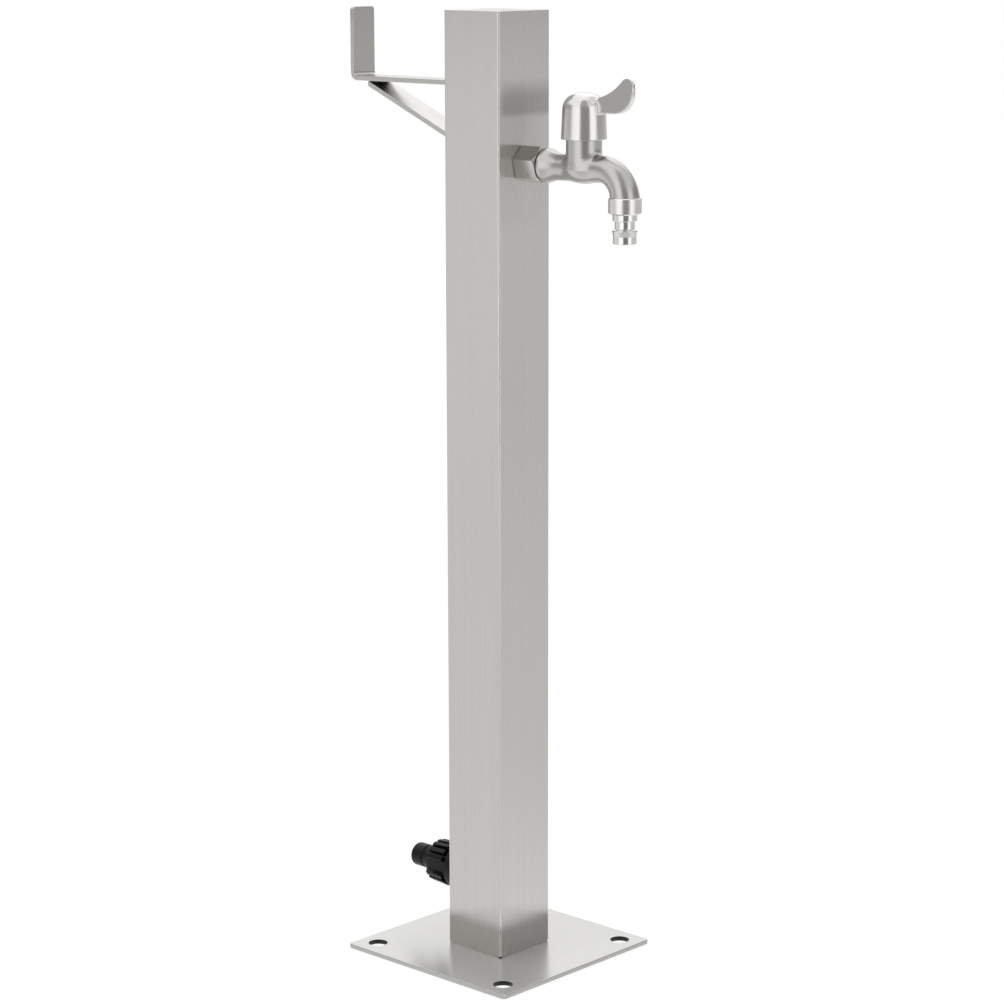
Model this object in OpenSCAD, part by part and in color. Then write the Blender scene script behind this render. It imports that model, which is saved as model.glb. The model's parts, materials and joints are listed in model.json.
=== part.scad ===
// Garden standpipe: a square stainless column on an anchored base plate, with a
// quarter-turn tap, a welded hose bracket and a supply connector at the foot.
// Millimetres. The origin is the centre of the base plate's underside, +Z is up,
// the tap points along +X, and the bracket and the supply inlet are on the -X side.

/* [Base plate] */
// Side of the square base plate
plate_w = 184; // [160:1:240]
// Thickness of the base plate
plate_t = 4; // [2:0.5:8]
// Corner radius of the base plate
plate_corner_r = 3; // [1:0.5:12]
// Distance from the plate's edge to the centre of an anchor hole
anchor_inset = 18; // [13:0.5:30]
// Diameter of an anchor hole
anchor_d = 16; // [8:0.5:20]

/* [Column] */
// Height of the column's top above the ground
column_h = 800; // [780:1:1100]
// Side of the square tube
column_w = 61; // [56:1:80]
// Wall of the square tube
column_wall = 1.5; // [1:0.5:3]
// Outer edge radius of the square tube
column_edge_r = 1.6; // [0.6:0.1:3]
// Diameter of the half-round drain notches at the feet of the column's edges
drain_d = 4.6; // [3:0.2:6]
// Thickness of the welded top cap
cap_t = 2; // [1:0.5:5]

/* [Hose bracket] */
// Width of the bracket's flat bar
bracket_w = 25; // [15:1:40]
// Thickness of the bracket's flat bar
bracket_t = 4; // [3:0.5:6]
// Reach of the bracket from the column's face
bracket_reach = 128.3; // [90:0.1:180]
// Distance from the column's top down to the arm's top face
bracket_drop = 57.7; // [56:0.1:90]
// Height of the upturned tab above the arm's top face
tab_h = 57.6; // [30:0.2:80]
// Outer radius of the bend between arm and tab
bracket_bend_r = 7; // [7:0.5:12]
// Corner radius at the top of the tab
tab_corner_r = 3; // [1:0.5:6]
// Distance from the column's face to the strut's far end
strut_reach = 107.5; // [70:0.5:112]
// Height that the strut spans below the arm, along its upper face
strut_drop = 45.3; // [30:0.1:60]

/* [Tap socket] */
// Distance from the column's top down to the tap's axis
tap_drop = 123; // [116:1:200]
// Width across the flats of the hexagonal socket
socket_af = 27; // [26:0.5:32]
// Length of the hexagonal head outside the column
socket_head = 23.4; // [18:0.1:40]
// Turn of the hexagon about the tap's axis
socket_turn = 14; // [0:1:30]
// Outer diameter of both threaded barrels that pass through the column's walls
barrel_d = 20; // [18:0.5:21]
// Thickness of the black tap gasket
gasket_t = 2; // [1:0.5:4]

/* [Tap body] */
// Distance from the gasket to the axis of the handle
neck_len = 39.4; // [34:0.1:60]
// Thickness of the tap's flange against the gasket
flange_t = 6; // [3:0.5:8]
// Diameter of the tap's flange
flange_d = 28.5; // [26:0.5:34]
// Diameter of the tap's neck beside the flange
neck_d = 20.6; // [19:0.2:24]
// Depth of the body below the tap's axis, under the riser
belly_r = 12; // [11.5:0.1:14]
// Outer diameter of the thread that screws into the socket
tail_d = 20.9; // [20:0.1:21.5]
// Length of that thread
tail_len = 16; // [10:1:16]
// Wall of the riser around the cartridge
riser_wall = 2.5; // [2:0.1:4]
// Height of the riser's top above the tap's axis
riser_h = 24.1; // [22:0.1:30]
// Distance from the handle's axis to the outlet's axis
spout_reach = 43.4; // [42:0.1:80]
// Outer diameter of the spout
spout_d = 22; // [21:0.2:24]
// Wall of the spout
spout_wall = 3; // [2:0.2:4]
// Bend radius of the spout along its axis
spout_bend_r = 24; // [20:0.5:26]

/* [Handle] */
// Height of the dome from its rim to its top
dome_h = 37.4; // [34:0.1:50]
// Wall of the dome around the riser
dome_wall = 2.3; // [1.5:0.1:4]
// Radius of the rounding at the dome's shoulder
dome_shoulder_r = 13.5; // [8:0.5:14]
// Inward slope of the dome's side from the rim to the shoulder
dome_draft = 1.1; // [0:0.1:2]
// Thickness of the lever blade
blade_t = 3; // [2:0.2:6]
// Reach of the lever blade from the handle's axis
blade_reach = 52.3; // [45:0.1:80]
// Height of the blade's lower edge above the dome's rim
blade_low = 21.3; // [18:0.1:25]
// Height of the blade's tip above its lower edge
blade_rise = 28.3; // [24:0.1:36]
// Diameter of the grub screw that clamps the handle
grub_d = 4; // [3:0.5:5]

/* [Cartridge] */
// Diameter of the cartridge's thread in the riser
cartridge_d = 24; // [22:0.5:26]
// Diameter of the spindle where it runs in the housing
spindle_d = 9.9; // [8:0.1:11]
// Diameter of the spindle's drive end in the handle
drive_d = 8; // [6:0.2:8]
// Thickness of each ceramic disc
disc_t = 3; // [2:0.5:4]
// Thickness of the cartridge's bottom seal
seal_t = 2; // [1:0.5:3]

/* [Outlet] */
// Outer diameter of the knurled collar
collar_d = 26.8; // [26:0.2:32]
// Height of the knurled collar
collar_h = 13.3; // [11:0.1:18]
// Diameter of the thread at the spout's end
outlet_thread_d = 23.2; // [22.4:0.2:24]
// Diameter of the nozzle's ring below the collar
nozzle_ring_d = 19.8; // [18:0.2:20]
// Height of that ring
nozzle_ring_h = 5.2; // [3:0.1:8]
// Diameter of the nozzle's neck
nozzle_neck_d = 16.2; // [14.5:0.1:17]
// Height of the neck
nozzle_neck_h = 7.2; // [4:0.1:10]
// Diameter of the nose at its widest
nose_d = 20.4; // [18.8:0.1:21]
// Diameter of the nose's straight end
nose_end_d = 18.9; // [17:0.1:19.4]
// Height of the nose
nose_h = 11.1; // [10:0.1:18]
// Bore of the nozzle
nozzle_bore_d = 12; // [8:0.5:13]

/* [Supply inlet] */
// Height of the inlet's axis above the ground
inlet_z = 62; // [50:1:120]
// Thread diameter of the nipple outside the column
nipple_d = 21; // [20:0.1:22]
// Length of that thread
nipple_len = 20; // [14:1:20]
// Thickness of the nipple's hexagonal flange
nipple_flange_t = 5; // [3:0.5:8]
// Thickness of the gasket between that flange and the column
inlet_gasket_t = 2; // [1:0.5:3]
// Thickness of the washer between the nipple and the connector
connector_washer_t = 2; // [1:0.5:3]
// Diameter of the connector's grip between its ribs
connector_core_d = 29; // [26:0.5:32]
// Diameter over the connector's ribs and rear ring
connector_grip_d = 39; // [34:0.5:44]
// Overall length of the connector's collar
connector_len = 41; // [38:1:50]
// Diameter of the connector's nose
inlet_nose_d = 20.4; // [18:0.2:22]
// Length of the connector's nose
inlet_nose_len = 12.9; // [8:0.1:16]
// Bore of the connector
inlet_bore_d = 10; // [8:0.5:12]

/* [Pipework] */
// Outer diameter of the supply pipe inside the column
pipe_d = 15; // [12:0.5:16]
// Wall of the supply pipe
pipe_wall = 1; // [0.7:0.1:1.5]
// Outer diameter of the elbows' female legs
elbow_d = 26; // [24:0.5:30]
// Width across the flats of the pipe nuts
pipe_nut_af = 24; // [23.5:0.5:28]
// Height of the pipe nuts
pipe_nut_h = 14; // [12:0.5:18]
// Thickness of the locknuts inside the column
locknut_t = 6; // [4:0.5:6]
// Thickness of the flat washers inside the column
washer_t = 2; // [1:0.5:2]

/* [Fits] */
// Radial gap where a turning piece runs on a fixed one
running_gap = 0.05; // [0.02:0.01:0.1]
// Radial gap of a screwed or pushed joint that stays still
seat_gap = 0.1; // [0:0.05:0.2]
// Gap between faces that move past each other
face_gap = 0.3; // [0.2:0.05:0.5]

/* [Hidden] */
$fn = 64;

eps = 0.01;          // overlap that keeps a cut open
over = 1;            // how far a cutter runs past a face
bit = 0.6;           // edge break of turned parts
face_x = column_w / 2;
inner_x = face_x - column_wall;
anchor_at = plate_w / 2 - anchor_inset;

// Heights that keep their distance from the column's top
bracket_z = column_h - bracket_drop;
tap_z = column_h - tap_drop;

// Stations of the tap along X
gasket_x = face_x + socket_head;
flange_x = gasket_x + gasket_t;
riser_x = flange_x + neck_len;
outlet_x = riser_x + spout_reach;

// Radii of the riser and the dome around it
dome_clearance = 1.8;
dome_overlap = 1;
crown_h = 0.5;
riser_r = cartridge_d / 2 + riser_wall;
dome_inner_r = riser_r + dome_clearance;
dome_r = dome_inner_r + dome_wall;
rim_z = tap_z + riser_h - dome_overlap;
dome_top_z = rim_z + dome_h;

// Levels inside the riser, from the seat upwards
seat_z = tap_z - 1;
fixed_disc_z = seat_z + seal_t;
moving_disc_z = fixed_disc_z + disc_t + running_gap;
spindle_z = moving_disc_z + disc_t;
spindle_flange_t = 3;
cavity_top_z = spindle_z + spindle_flange_t + face_gap;
barrel_roof_t = 1.5;
barrel_top_z = cavity_top_z + barrel_roof_t;
housing_z = tap_z + riser_h;
housing_hex_t = 3.5;
housing_neck_h = 8;
housing_neck_wall = 2.5;
housing_top_z = housing_z + housing_hex_t + housing_neck_h;
handle_floor_z = housing_top_z + 1.3;
drive_len = 11;
drive_top_z = handle_floor_z + drive_len;
grub_len = 8;
grub_z = handle_floor_z + drive_len / 2;
cavity_r = cartridge_d / 2 - 3.4;
barrel_wall = 1.3;
disc_port_r = 2.6;
disc_port_at = 4.6;
tongue_w = 3;
tongue_h = 1.2;
oring_z = housing_z + housing_hex_t + housing_neck_h / 2;
oring_w = 1.4;
oring_groove = 1;

// Water ways inside the tap's body
tail_bore_r = 6.5;
tail_bore_end_x = riser_x - 19.5;
port_r = 5.2;
port_z = tap_z - 7;
passage_x = riser_x - 21.5;
passage_z = tap_z - 3;
passage_r = 3.4;
chamber_r = cartridge_d / 2 - 1;
spout_bore_r = spout_d / 2 - spout_wall;
spout_bore_x = riser_x + 7.5;

// Levels at the outlet, from the collar's top downwards
bend_end_z = tap_z - spout_bend_r;
collar_top_z = bend_end_z + 3.2;
outlet_thread_len = 6.6;
thread_end_z = collar_top_z - outlet_thread_len;
outlet_washer_t = 2;
nozzle_flange_t = 1.7;
nozzle_top_z = thread_end_z - outlet_washer_t;
lip_z = nozzle_top_z - nozzle_flange_t - face_gap;
collar_z = collar_top_z - collar_h;
ring_z = collar_z - nozzle_ring_h;
neck_z = ring_z - nozzle_neck_h;
nose_z = neck_z - nose_h;
nose_straight = 6;

// Elbows stand on the column's own axis
elbow_leg = 22;
barrel_end_x = 6;
elbow_end_x = inner_x - washer_t - locknut_t - 0.5;
locknut_af = barrel_d + 7;
washer_r = barrel_d / 2 + 5;
pipe_seat = 12;
olive_h = 3;
barrel_bore_r = 6;
elbow_thread_d = pipe_nut_af - 3;
pipe_nut_floor = 5;
pipe_nut_drop = 8.5;

// Stations of the supply inlet, measured outwards from the column's face
nipple_flange_at = face_x + inlet_gasket_t;
nipple_thread_at = nipple_flange_at + nipple_flange_t;
nipple_end_at = nipple_thread_at + nipple_len;
body_flange_t = 3;
body_flange_at = nipple_end_at + connector_washer_t;
collar_at = nipple_thread_at + 3;
collar_end_at = collar_at + connector_len;
body_lip_at = body_flange_at + body_flange_t + face_gap;
shoulder_at = collar_end_at + face_gap;
shoulder_len = 0.8;
groove_len = 2.4;
groove_depth = 1;
inlet_nose_at = shoulder_at + shoulder_len + groove_len;
inlet_tip_at = inlet_nose_at + inlet_nose_len;
shank_r = 8.5;
shoulder_rise = 0.8;

// Points along an arc about (cx, cy) from angle a0 to a1
function arc(cx, cy, r, a0, a1, n) =
  [for (i = [0:n]) let(a = a0 + (a1 - a0) * i / n) [cx + r * cos(a), cy + r * sin(a)]];

// Cylinder along X between two stations
module x_rod(x0, x1, r) {
  translate([min(x0, x1), 0, 0]) rotate([0, 90, 0]) cylinder(h = abs(x1 - x0), r = r);
}

// Solid of revolution about X; a point is [radius, station]
module x_turned(points) {
  rotate([0, 90, 0]) rotate_extrude() polygon(points);
}

// Ring about Z
module z_ring(z, h, r_out, r_in) {
  translate([0, 0, z]) difference() {
    cylinder(h = h, r = r_out);
    translate([0, 0, -over]) cylinder(h = h + 2 * over, r = r_in);
  }
}

// Ring about X
module x_ring(x0, x1, r_out, r_in) {
  difference() {
    x_rod(x0, x1, r_out);
    x_rod(min(x0, x1) - over, max(x0, x1) + over, r_in);
  }
}

// Hexagonal bar along X
module x_hex(x0, x1, af, turn) {
  rotate([turn, 0, 0]) translate([min(x0, x1), 0, 0]) rotate([0, 90, 0])
    cylinder(h = abs(x1 - x0), r = af / 2 / cos(30), $fn = 6);
}

// Square outline with round corners, centred
module rounded_square(w, r) {
  square([w - 2 * r, w], center = true);
  square([w, w - 2 * r], center = true);
  for (sx = [-1, 1], sy = [-1, 1]) translate([sx * (w / 2 - r), sy * (w / 2 - r)]) circle(r);
}

module base_plate() {
  color("lightgray") difference() {
    linear_extrude(plate_t) rounded_square(plate_w, plate_corner_r);
    for (sx = [-1, 1], sy = [-1, 1])
      translate([sx * anchor_at, sy * anchor_at, -over])
        cylinder(h = plate_t + 2 * over, d = anchor_d);
  }
}

module column_tube() {
  color("silver") difference() {
    translate([0, 0, plate_t]) linear_extrude(column_h - plate_t)
      rounded_square(column_w, column_edge_r);
    translate([-inner_x, -inner_x, plate_t - over])
      cube([2 * inner_x, 2 * inner_x, column_h - plate_t + 2 * over]);
    translate([0, 0, tap_z]) x_rod(0, face_x + over, barrel_d / 2 + seat_gap);
    translate([0, 0, inlet_z]) x_rod(-face_x - over, 0, barrel_d / 2 + seat_gap);
    for (turn = [0:90:270]) rotate([0, 0, turn]) translate([face_x, -face_x, plate_t])
      rotate([90, 0, 45]) cylinder(h = 2 * drain_d + 4 * column_wall, d = drain_d, center = true);
  }
}

module column_cap() {
  color("silver") translate([-inner_x, -inner_x, column_h - cap_t])
    cube([2 * inner_x, 2 * inner_x, cap_t]);
}

// Flat bar that runs out from the column and turns up into a tab
module bracket_arm() {
  tab_x = -face_x - bracket_reach;
  arm_low = bracket_z - bracket_t;
  tab_top = bracket_z + tab_h;
  bend_x = tab_x + bracket_bend_r;
  bend_z = arm_low + bracket_bend_r;
  color("silver") {
    translate([bend_x, -bracket_w / 2, arm_low]) cube([-face_x - bend_x, bracket_w, bracket_t]);
    intersection() {
      translate([bend_x, 0, bend_z]) rotate([90, 0, 0]) difference() {
        cylinder(h = bracket_w, r = bracket_bend_r, center = true);
        cylinder(h = bracket_w + over, r = bracket_bend_r - bracket_t, center = true);
      }
      translate([tab_x, -bracket_w / 2, arm_low])
        cube([bracket_bend_r, bracket_w, bracket_bend_r]);
    }
    translate([tab_x, -bracket_w / 2, bend_z])
      cube([bracket_t, bracket_w, tab_top - tab_corner_r - bend_z]);
    translate([tab_x, -bracket_w / 2 + tab_corner_r, tab_top - tab_corner_r])
      cube([bracket_t, bracket_w - 2 * tab_corner_r, tab_corner_r]);
    for (side = [-1, 1])
      translate([tab_x, side * (bracket_w / 2 - tab_corner_r), tab_top - tab_corner_r])
        rotate([0, 90, 0]) cylinder(h = bracket_t, r = tab_corner_r);
  }
}

// Flat bar that slants from the column up to the underside of the arm
module bracket_strut() {
  arm_low = bracket_z - bracket_t;
  slant = atan(strut_drop / strut_reach);
  deep = bracket_t / cos(slant);
  color("gray") translate([0, bracket_w / 2, 0]) rotate([90, 0, 0])
    linear_extrude(bracket_w) polygon([
      [-face_x, arm_low - strut_drop],
      [-face_x - strut_reach, arm_low],
      [-face_x - strut_reach, arm_low - deep],
      [-face_x, arm_low - strut_drop - deep]
    ]);
}

// Hexagonal socket outside the wall with a threaded barrel through it
module tap_socket() {
  head_r = socket_af / 2 / cos(30);
  chamfer = head_r - socket_af / 2 + 0.6;
  color("silver") translate([0, 0, tap_z]) difference() {
    union() {
      intersection() {
        x_hex(face_x, gasket_x, socket_af, socket_turn);
        x_turned([[0, face_x - over], [head_r + over, face_x - over],
                  [head_r + over, gasket_x - chamfer - over],
                  [head_r - chamfer - over, gasket_x + over], [0, gasket_x + over]]);
      }
      x_rod(barrel_end_x, face_x + over, barrel_d / 2);
    }
    x_rod(barrel_end_x - over, gasket_x + over, barrel_bore_r);
    x_rod(gasket_x - tail_len - face_gap, gasket_x + over, tail_d / 2 + seat_gap);
  }
}

module tap_socket_washer() {
  color("gainsboro") translate([0, 0, tap_z])
    x_ring(inner_x - washer_t, inner_x, washer_r, barrel_d / 2 + seat_gap);
}

module tap_socket_locknut() {
  color("goldenrod") translate([0, 0, tap_z]) difference() {
    x_hex(inner_x - washer_t - locknut_t, inner_x - washer_t, locknut_af, 0);
    x_rod(0, face_x, barrel_d / 2 + seat_gap);
  }
}

module tap_gasket() {
  color("black") translate([0, 0, tap_z])
    x_ring(gasket_x, flange_x, flange_d / 2 - 0.4, tail_d / 2 + seat_gap);
}

// Cast body: tail, flange, neck, riser, spout and threaded end in one piece
module tap_body() {
  color("silver") difference() {
    tap_outside();
    tap_water_ways();
  }
}

module tap_outside() {
  r = flange_d / 2;
  edge = 2.5;
  land = 4;
  translate([0, 0, tap_z]) {
    x_turned(concat(
      [[0, gasket_x - tail_len], [tail_d / 2, gasket_x - tail_len], [tail_d / 2, flange_x],
       [r, flange_x]],
      arc(r - edge, flange_x + flange_t - edge, edge, 0, 90, 6),
      [[neck_d / 2, flange_x + flange_t], [neck_d / 2, flange_x + flange_t + land],
       [belly_r, riser_x], [0, riser_x]]));
    x_rod(riser_x, outlet_x - spout_bend_r, spout_d / 2);
    translate([outlet_x - spout_bend_r, 0, -spout_bend_r]) quarter_bend(spout_d / 2);
  }
  translate([riser_x, 0, 0]) rotate_extrude() polygon(concat(
    [for (a = [-90:10:0]) [riser_r * cos(a), tap_z + belly_r * sin(a)]],
    [[riser_r, tap_z + riser_h], [0, tap_z + riser_h]]));
  translate([outlet_x, 0, thread_end_z])
    cylinder(h = outlet_thread_len - seat_gap, d = outlet_thread_d);
}

// Quarter of a ring from the horizontal spout down to the outlet, in the XZ plane
module quarter_bend(r) {
  rotate([90, 0, 0]) rotate_extrude(angle = 90) translate([spout_bend_r, 0]) circle(r);
}

module tap_water_ways() {
  run = riser_x - passage_x;
  slope = atan((passage_z - port_z) / run);
  translate([0, 0, tap_z]) x_rod(gasket_x - tail_len - over, tail_bore_end_x, tail_bore_r);
  translate([passage_x, 0, passage_z]) rotate([0, 90 + slope, 0])
    cylinder(h = run / cos(slope), r = passage_r);
  translate([riser_x, 0, port_z - passage_r + over])
    cylinder(h = seat_z - port_z + passage_r, r = port_r);
  translate([riser_x, 0, seat_z]) cylinder(h = barrel_top_z - seat_z, r = chamber_r);
  translate([riser_x, 0, barrel_top_z - eps])
    cylinder(h = housing_z - barrel_top_z + over, r = cartridge_d / 2 + seat_gap);
  translate([0, 0, tap_z]) {
    x_rod(spout_bore_x, outlet_x - spout_bend_r + eps, spout_bore_r);
    translate([outlet_x - spout_bend_r, 0, -spout_bend_r]) quarter_bend(spout_bore_r);
  }
  translate([outlet_x, 0, thread_end_z - over])
    cylinder(h = bend_end_z - thread_end_z + over + eps, r = spout_bore_r);
}

module cartridge_seal() {
  color("black") translate([riser_x, 0, 0]) z_ring(seat_z, seal_t, cavity_r + 0.9, port_r + 0.5);
}

// Ceramic disc with two ports; turn = 0 puts them along X
module ceramic_disc(z, turn, r) {
  translate([riser_x, 0, z]) rotate([0, 0, turn]) difference() {
    cylinder(h = disc_t, r = r);
    for (side = [-1, 1]) translate([side * disc_port_at, 0, -over])
      cylinder(h = disc_t + 2 * over, r = disc_port_r);
  }
}

module cartridge_fixed_disc() {
  color("white") ceramic_disc(fixed_disc_z, 90, cavity_r - seat_gap);
}

module cartridge_moving_disc() {
  color("white") difference() {
    ceramic_disc(moving_disc_z, 0, cavity_r - face_gap);
    translate([riser_x - tongue_w / 2, -cavity_r, spindle_z - tongue_h])
      cube([tongue_w, 2 * cavity_r, tongue_h + over]);
  }
}

// Brass headwork: barrel round the discs, thread, hexagon and neck
module cartridge_housing() {
  window = [6, 7, 4];
  barrel_r = cavity_r + barrel_wall;
  color("goldenrod") translate([riser_x, 0, 0]) difference() {
    union() {
      translate([0, 0, fixed_disc_z]) cylinder(h = housing_z - fixed_disc_z, r = barrel_r);
      translate([0, 0, barrel_top_z])
        cylinder(h = housing_z - barrel_top_z, d = cartridge_d);
      translate([0, 0, housing_z])
        cylinder(h = housing_hex_t, r = riser_r - 0.2, $fn = 6);
      translate([0, 0, housing_z])
        cylinder(h = housing_top_z - housing_z, r = spindle_d / 2 + housing_neck_wall);
    }
    translate([0, 0, fixed_disc_z - over])
      cylinder(h = cavity_top_z - fixed_disc_z + over, r = cavity_r);
    translate([0, 0, seat_z])
      cylinder(h = housing_top_z - seat_z + over, r = spindle_d / 2 + running_gap);
    for (side = [-1, 1]) translate([side * barrel_r, 0, spindle_z]) cube(window, center = true);
  }
}

module cartridge_spindle() {
  color("goldenrod") translate([riser_x, 0, 0]) difference() {
    union() {
      translate([0, 0, spindle_z]) cylinder(h = spindle_flange_t, r = cavity_r - 1);
      translate([-tongue_w / 2, 1 - cavity_r, spindle_z - tongue_h])
        cube([tongue_w, 2 * (cavity_r - 1), tongue_h + over]);
      translate([0, 0, spindle_z]) cylinder(h = handle_floor_z - spindle_z, d = spindle_d);
      translate([0, 0, handle_floor_z - over]) cylinder(h = drive_len + over, d = drive_d);
    }
    z_ring(oring_z - oring_w / 2, oring_w, spindle_d, spindle_d / 2 - oring_groove);
  }
}

module spindle_oring() {
  color("black") translate([riser_x, 0, oring_z]) rotate_extrude()
    translate([spindle_d / 2 - oring_groove / 2, 0]) circle(d = oring_groove);
}

// Dome with a leaf-shaped blade on its side, cast in one piece
module handle() {
  color("silver") difference() {
    union() {
      dome_outside();
      lever_blade();
    }
    translate([riser_x, 0, rim_z - over])
      cylinder(h = handle_floor_z - rim_z + over, r = dome_inner_r);
    translate([riser_x, 0, handle_floor_z - over])
      cylinder(h = drive_len + over + face_gap, r = drive_d / 2 + seat_gap);
    translate([0, 0, grub_z]) x_rod(riser_x - dome_r - over, riser_x, grub_d / 2 + seat_gap);
  }
}

module dome_outside() {
  shoulder_z = dome_top_z - crown_h - dome_shoulder_r;
  side_r = dome_r - dome_draft;
  translate([riser_x, 0, 0]) rotate_extrude() polygon(concat(
    [[0, rim_z], [dome_r, rim_z]],
    arc(side_r - dome_shoulder_r, shoulder_z, dome_shoulder_r, 0, 90, 10),
    [[0, dome_top_z]]));
}

// Blade outline in the XZ plane: round belly, round tip and a hollow upper edge
module lever_blade() {
  low = rim_z + blade_low;
  root_x = riser_x + dome_r / 2;
  tip_r = 6.8;
  belly_r = 17;
  hollow_r = 45;
  tip = [riser_x + blade_reach - tip_r, low + blade_rise - tip_r];
  lean = 138;
  hollow = tip + (tip_r + hollow_r) * [cos(lean), sin(lean)];
  translate([0, blade_t / 2, 0]) rotate([90, 0, 0]) linear_extrude(blade_t) polygon(concat(
    [[root_x, low]],
    arc(tip[0] + tip_r - belly_r, low + belly_r, belly_r, -90, 0, 10),
    arc(tip[0], tip[1], tip_r, 0, lean, 10),
    arc(hollow[0], hollow[1], hollow_r, lean - 180 - 4, -75, 7),
    [[root_x, dome_top_z - 8]]));
}

module handle_screw() {
  tip_x = riser_x - drive_d / 2;
  color("dimgray") translate([0, 0, grub_z]) difference() {
    x_rod(tip_x - grub_len, tip_x, grub_d / 2);
    x_hex(tip_x - grub_len - over, tip_x - grub_len / 2, grub_d / 2, 0);
  }
}

// Collar that turns on the spout's thread and carries the nozzle on its lip
module outlet_collar() {
  r = collar_d / 2;
  lip_r = max(nozzle_ring_d, nose_d) / 2 + face_gap;
  color("lightgray") translate([outlet_x, 0, 0]) difference() {
    rotate_extrude() polygon([
      [0, collar_z], [r - bit, collar_z], [r, collar_z + bit],
      [r, collar_top_z - bit], [r - bit, collar_top_z], [0, collar_top_z]]);
    translate([0, 0, lip_z]) cylinder(h = collar_h, r = outlet_thread_d / 2 + running_gap);
    translate([0, 0, collar_z - over]) cylinder(h = collar_h, r = lip_r);
  }
}

module outlet_washer() {
  color("black") translate([outlet_x, 0, 0])
    z_ring(nozzle_top_z, outlet_washer_t, outlet_thread_d / 2 - face_gap, spout_bore_r);
}

// Nozzle that hangs in the collar: flange, ring, neck and tapered nose
module hose_nozzle() {
  flange_r = outlet_thread_d / 2 - face_gap;
  ring_r = nozzle_ring_d / 2;
  neck_r = nozzle_neck_d / 2;
  end_r = nose_end_d / 2;
  color("lightgray") translate([outlet_x, 0, 0]) difference() {
    rotate_extrude() polygon([
      [0, nozzle_top_z], [flange_r, nozzle_top_z], [flange_r, nozzle_top_z - nozzle_flange_t],
      [ring_r, nozzle_top_z - nozzle_flange_t], [ring_r, ring_z + bit], [ring_r - bit, ring_z],
      [neck_r, ring_z], [neck_r, neck_z], [nose_d / 2 - bit, neck_z],
      [nose_d / 2, neck_z - bit], [end_r, nose_z + nose_straight], [end_r, nose_z + bit],
      [end_r - bit, nose_z], [0, nose_z]]);
    translate([0, 0, nose_z - over])
      cylinder(h = nozzle_top_z - nose_z + 2 * over, d = nozzle_bore_d);
  }
}

// Elbow at the column's axis: female leg along +X, compression leg along -Z
module elbow() {
  difference() {
    union() {
      sphere(d = elbow_d);
      x_rod(0, elbow_end_x, elbow_d / 2);
      translate([0, 0, -elbow_leg]) cylinder(h = elbow_leg, d = elbow_thread_d);
    }
    x_rod(0, elbow_end_x + over, barrel_bore_r);
    sphere(r = barrel_bore_r);
    x_rod(barrel_end_x, elbow_end_x + over, barrel_d / 2);
    translate([0, 0, -elbow_leg - over])
      cylinder(h = elbow_leg + over, r = pipe_d / 2 - pipe_wall);
    translate([0, 0, -elbow_leg - over])
      cylinder(h = elbow_leg + over - pipe_seat, d = pipe_d);
  }
}

// Soft ring that the pipe nut squeezes onto the pipe
module olive() {
  r = pipe_d / 2;
  rotate_extrude() polygon([
    [r, 0], [r + 1, 0], [r + 2, olive_h / 2], [r + 1, olive_h], [r, olive_h]]);
}

// Nut of a compression joint, thread side up
module pipe_nut() {
  difference() {
    cylinder(h = pipe_nut_h, r = pipe_nut_af / 2 / cos(30), $fn = 6);
    translate([0, 0, -over]) cylinder(h = pipe_nut_h, r = pipe_d / 2 + seat_gap);
    translate([0, 0, pipe_nut_floor])
      cylinder(h = pipe_nut_h, r = elbow_thread_d / 2 + seat_gap);
  }
}

// Puts a joint's parts under the upper elbow, or upside down over the lower one
module at_upper() {
  translate([0, 0, tap_z]) children();
}

module at_lower() {
  translate([0, 0, inlet_z]) rotate([0, 180, 0]) children();
}

module at_joint(drop) {
  translate([0, 0, -elbow_leg - drop]) children();
}

module upper_elbow() { color("goldenrod") at_upper() elbow(); }
module lower_elbow() { color("goldenrod") at_lower() elbow(); }
module upper_olive() { color("orange") at_upper() at_joint(olive_h) olive(); }
module lower_olive() { color("orange") at_lower() at_joint(olive_h) olive(); }
module upper_pipe_nut() { color("goldenrod") at_upper() at_joint(pipe_nut_drop) pipe_nut(); }
module lower_pipe_nut() { color("goldenrod") at_lower() at_joint(pipe_nut_drop) pipe_nut(); }

module supply_pipe() {
  low = inlet_z + pipe_seat;
  color("silver") z_ring(low, tap_z - pipe_seat - low, pipe_d / 2, pipe_d / 2 - pipe_wall);
}

// Nipple through the foot of the column: inner barrel, hexagonal flange, outer thread
module inlet_nipple() {
  color("goldenrod") translate([0, 0, inlet_z]) difference() {
    union() {
      x_rod(-nipple_flange_at - over, -barrel_end_x, barrel_d / 2);
      x_hex(-nipple_thread_at, -nipple_flange_at, barrel_d + 10, 0);
      x_rod(-nipple_end_at, -nipple_thread_at + over, nipple_d / 2);
    }
    x_rod(-nipple_end_at - over, -barrel_end_x + over, barrel_bore_r);
  }
}

module inlet_gasket() {
  color("black") translate([0, 0, inlet_z])
    x_ring(-nipple_flange_at, -face_x, barrel_d / 2 + 4.5, barrel_d / 2 + seat_gap);
}

module inlet_washer() {
  color("gainsboro") translate([0, 0, inlet_z])
    x_ring(-inner_x, washer_t - inner_x, washer_r, barrel_d / 2 + seat_gap);
}

module inlet_locknut() {
  color("goldenrod") translate([0, 0, inlet_z]) difference() {
    x_hex(washer_t - inner_x, washer_t + locknut_t - inner_x, locknut_af, 0);
    x_rod(-face_x, 0, barrel_d / 2 + seat_gap);
  }
}

module connector_washer() {
  color("dimgray") translate([0, 0, inlet_z])
    x_ring(-body_flange_at, -nipple_end_at, nipple_d / 2 - 0.2, barrel_bore_r);
}

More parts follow.
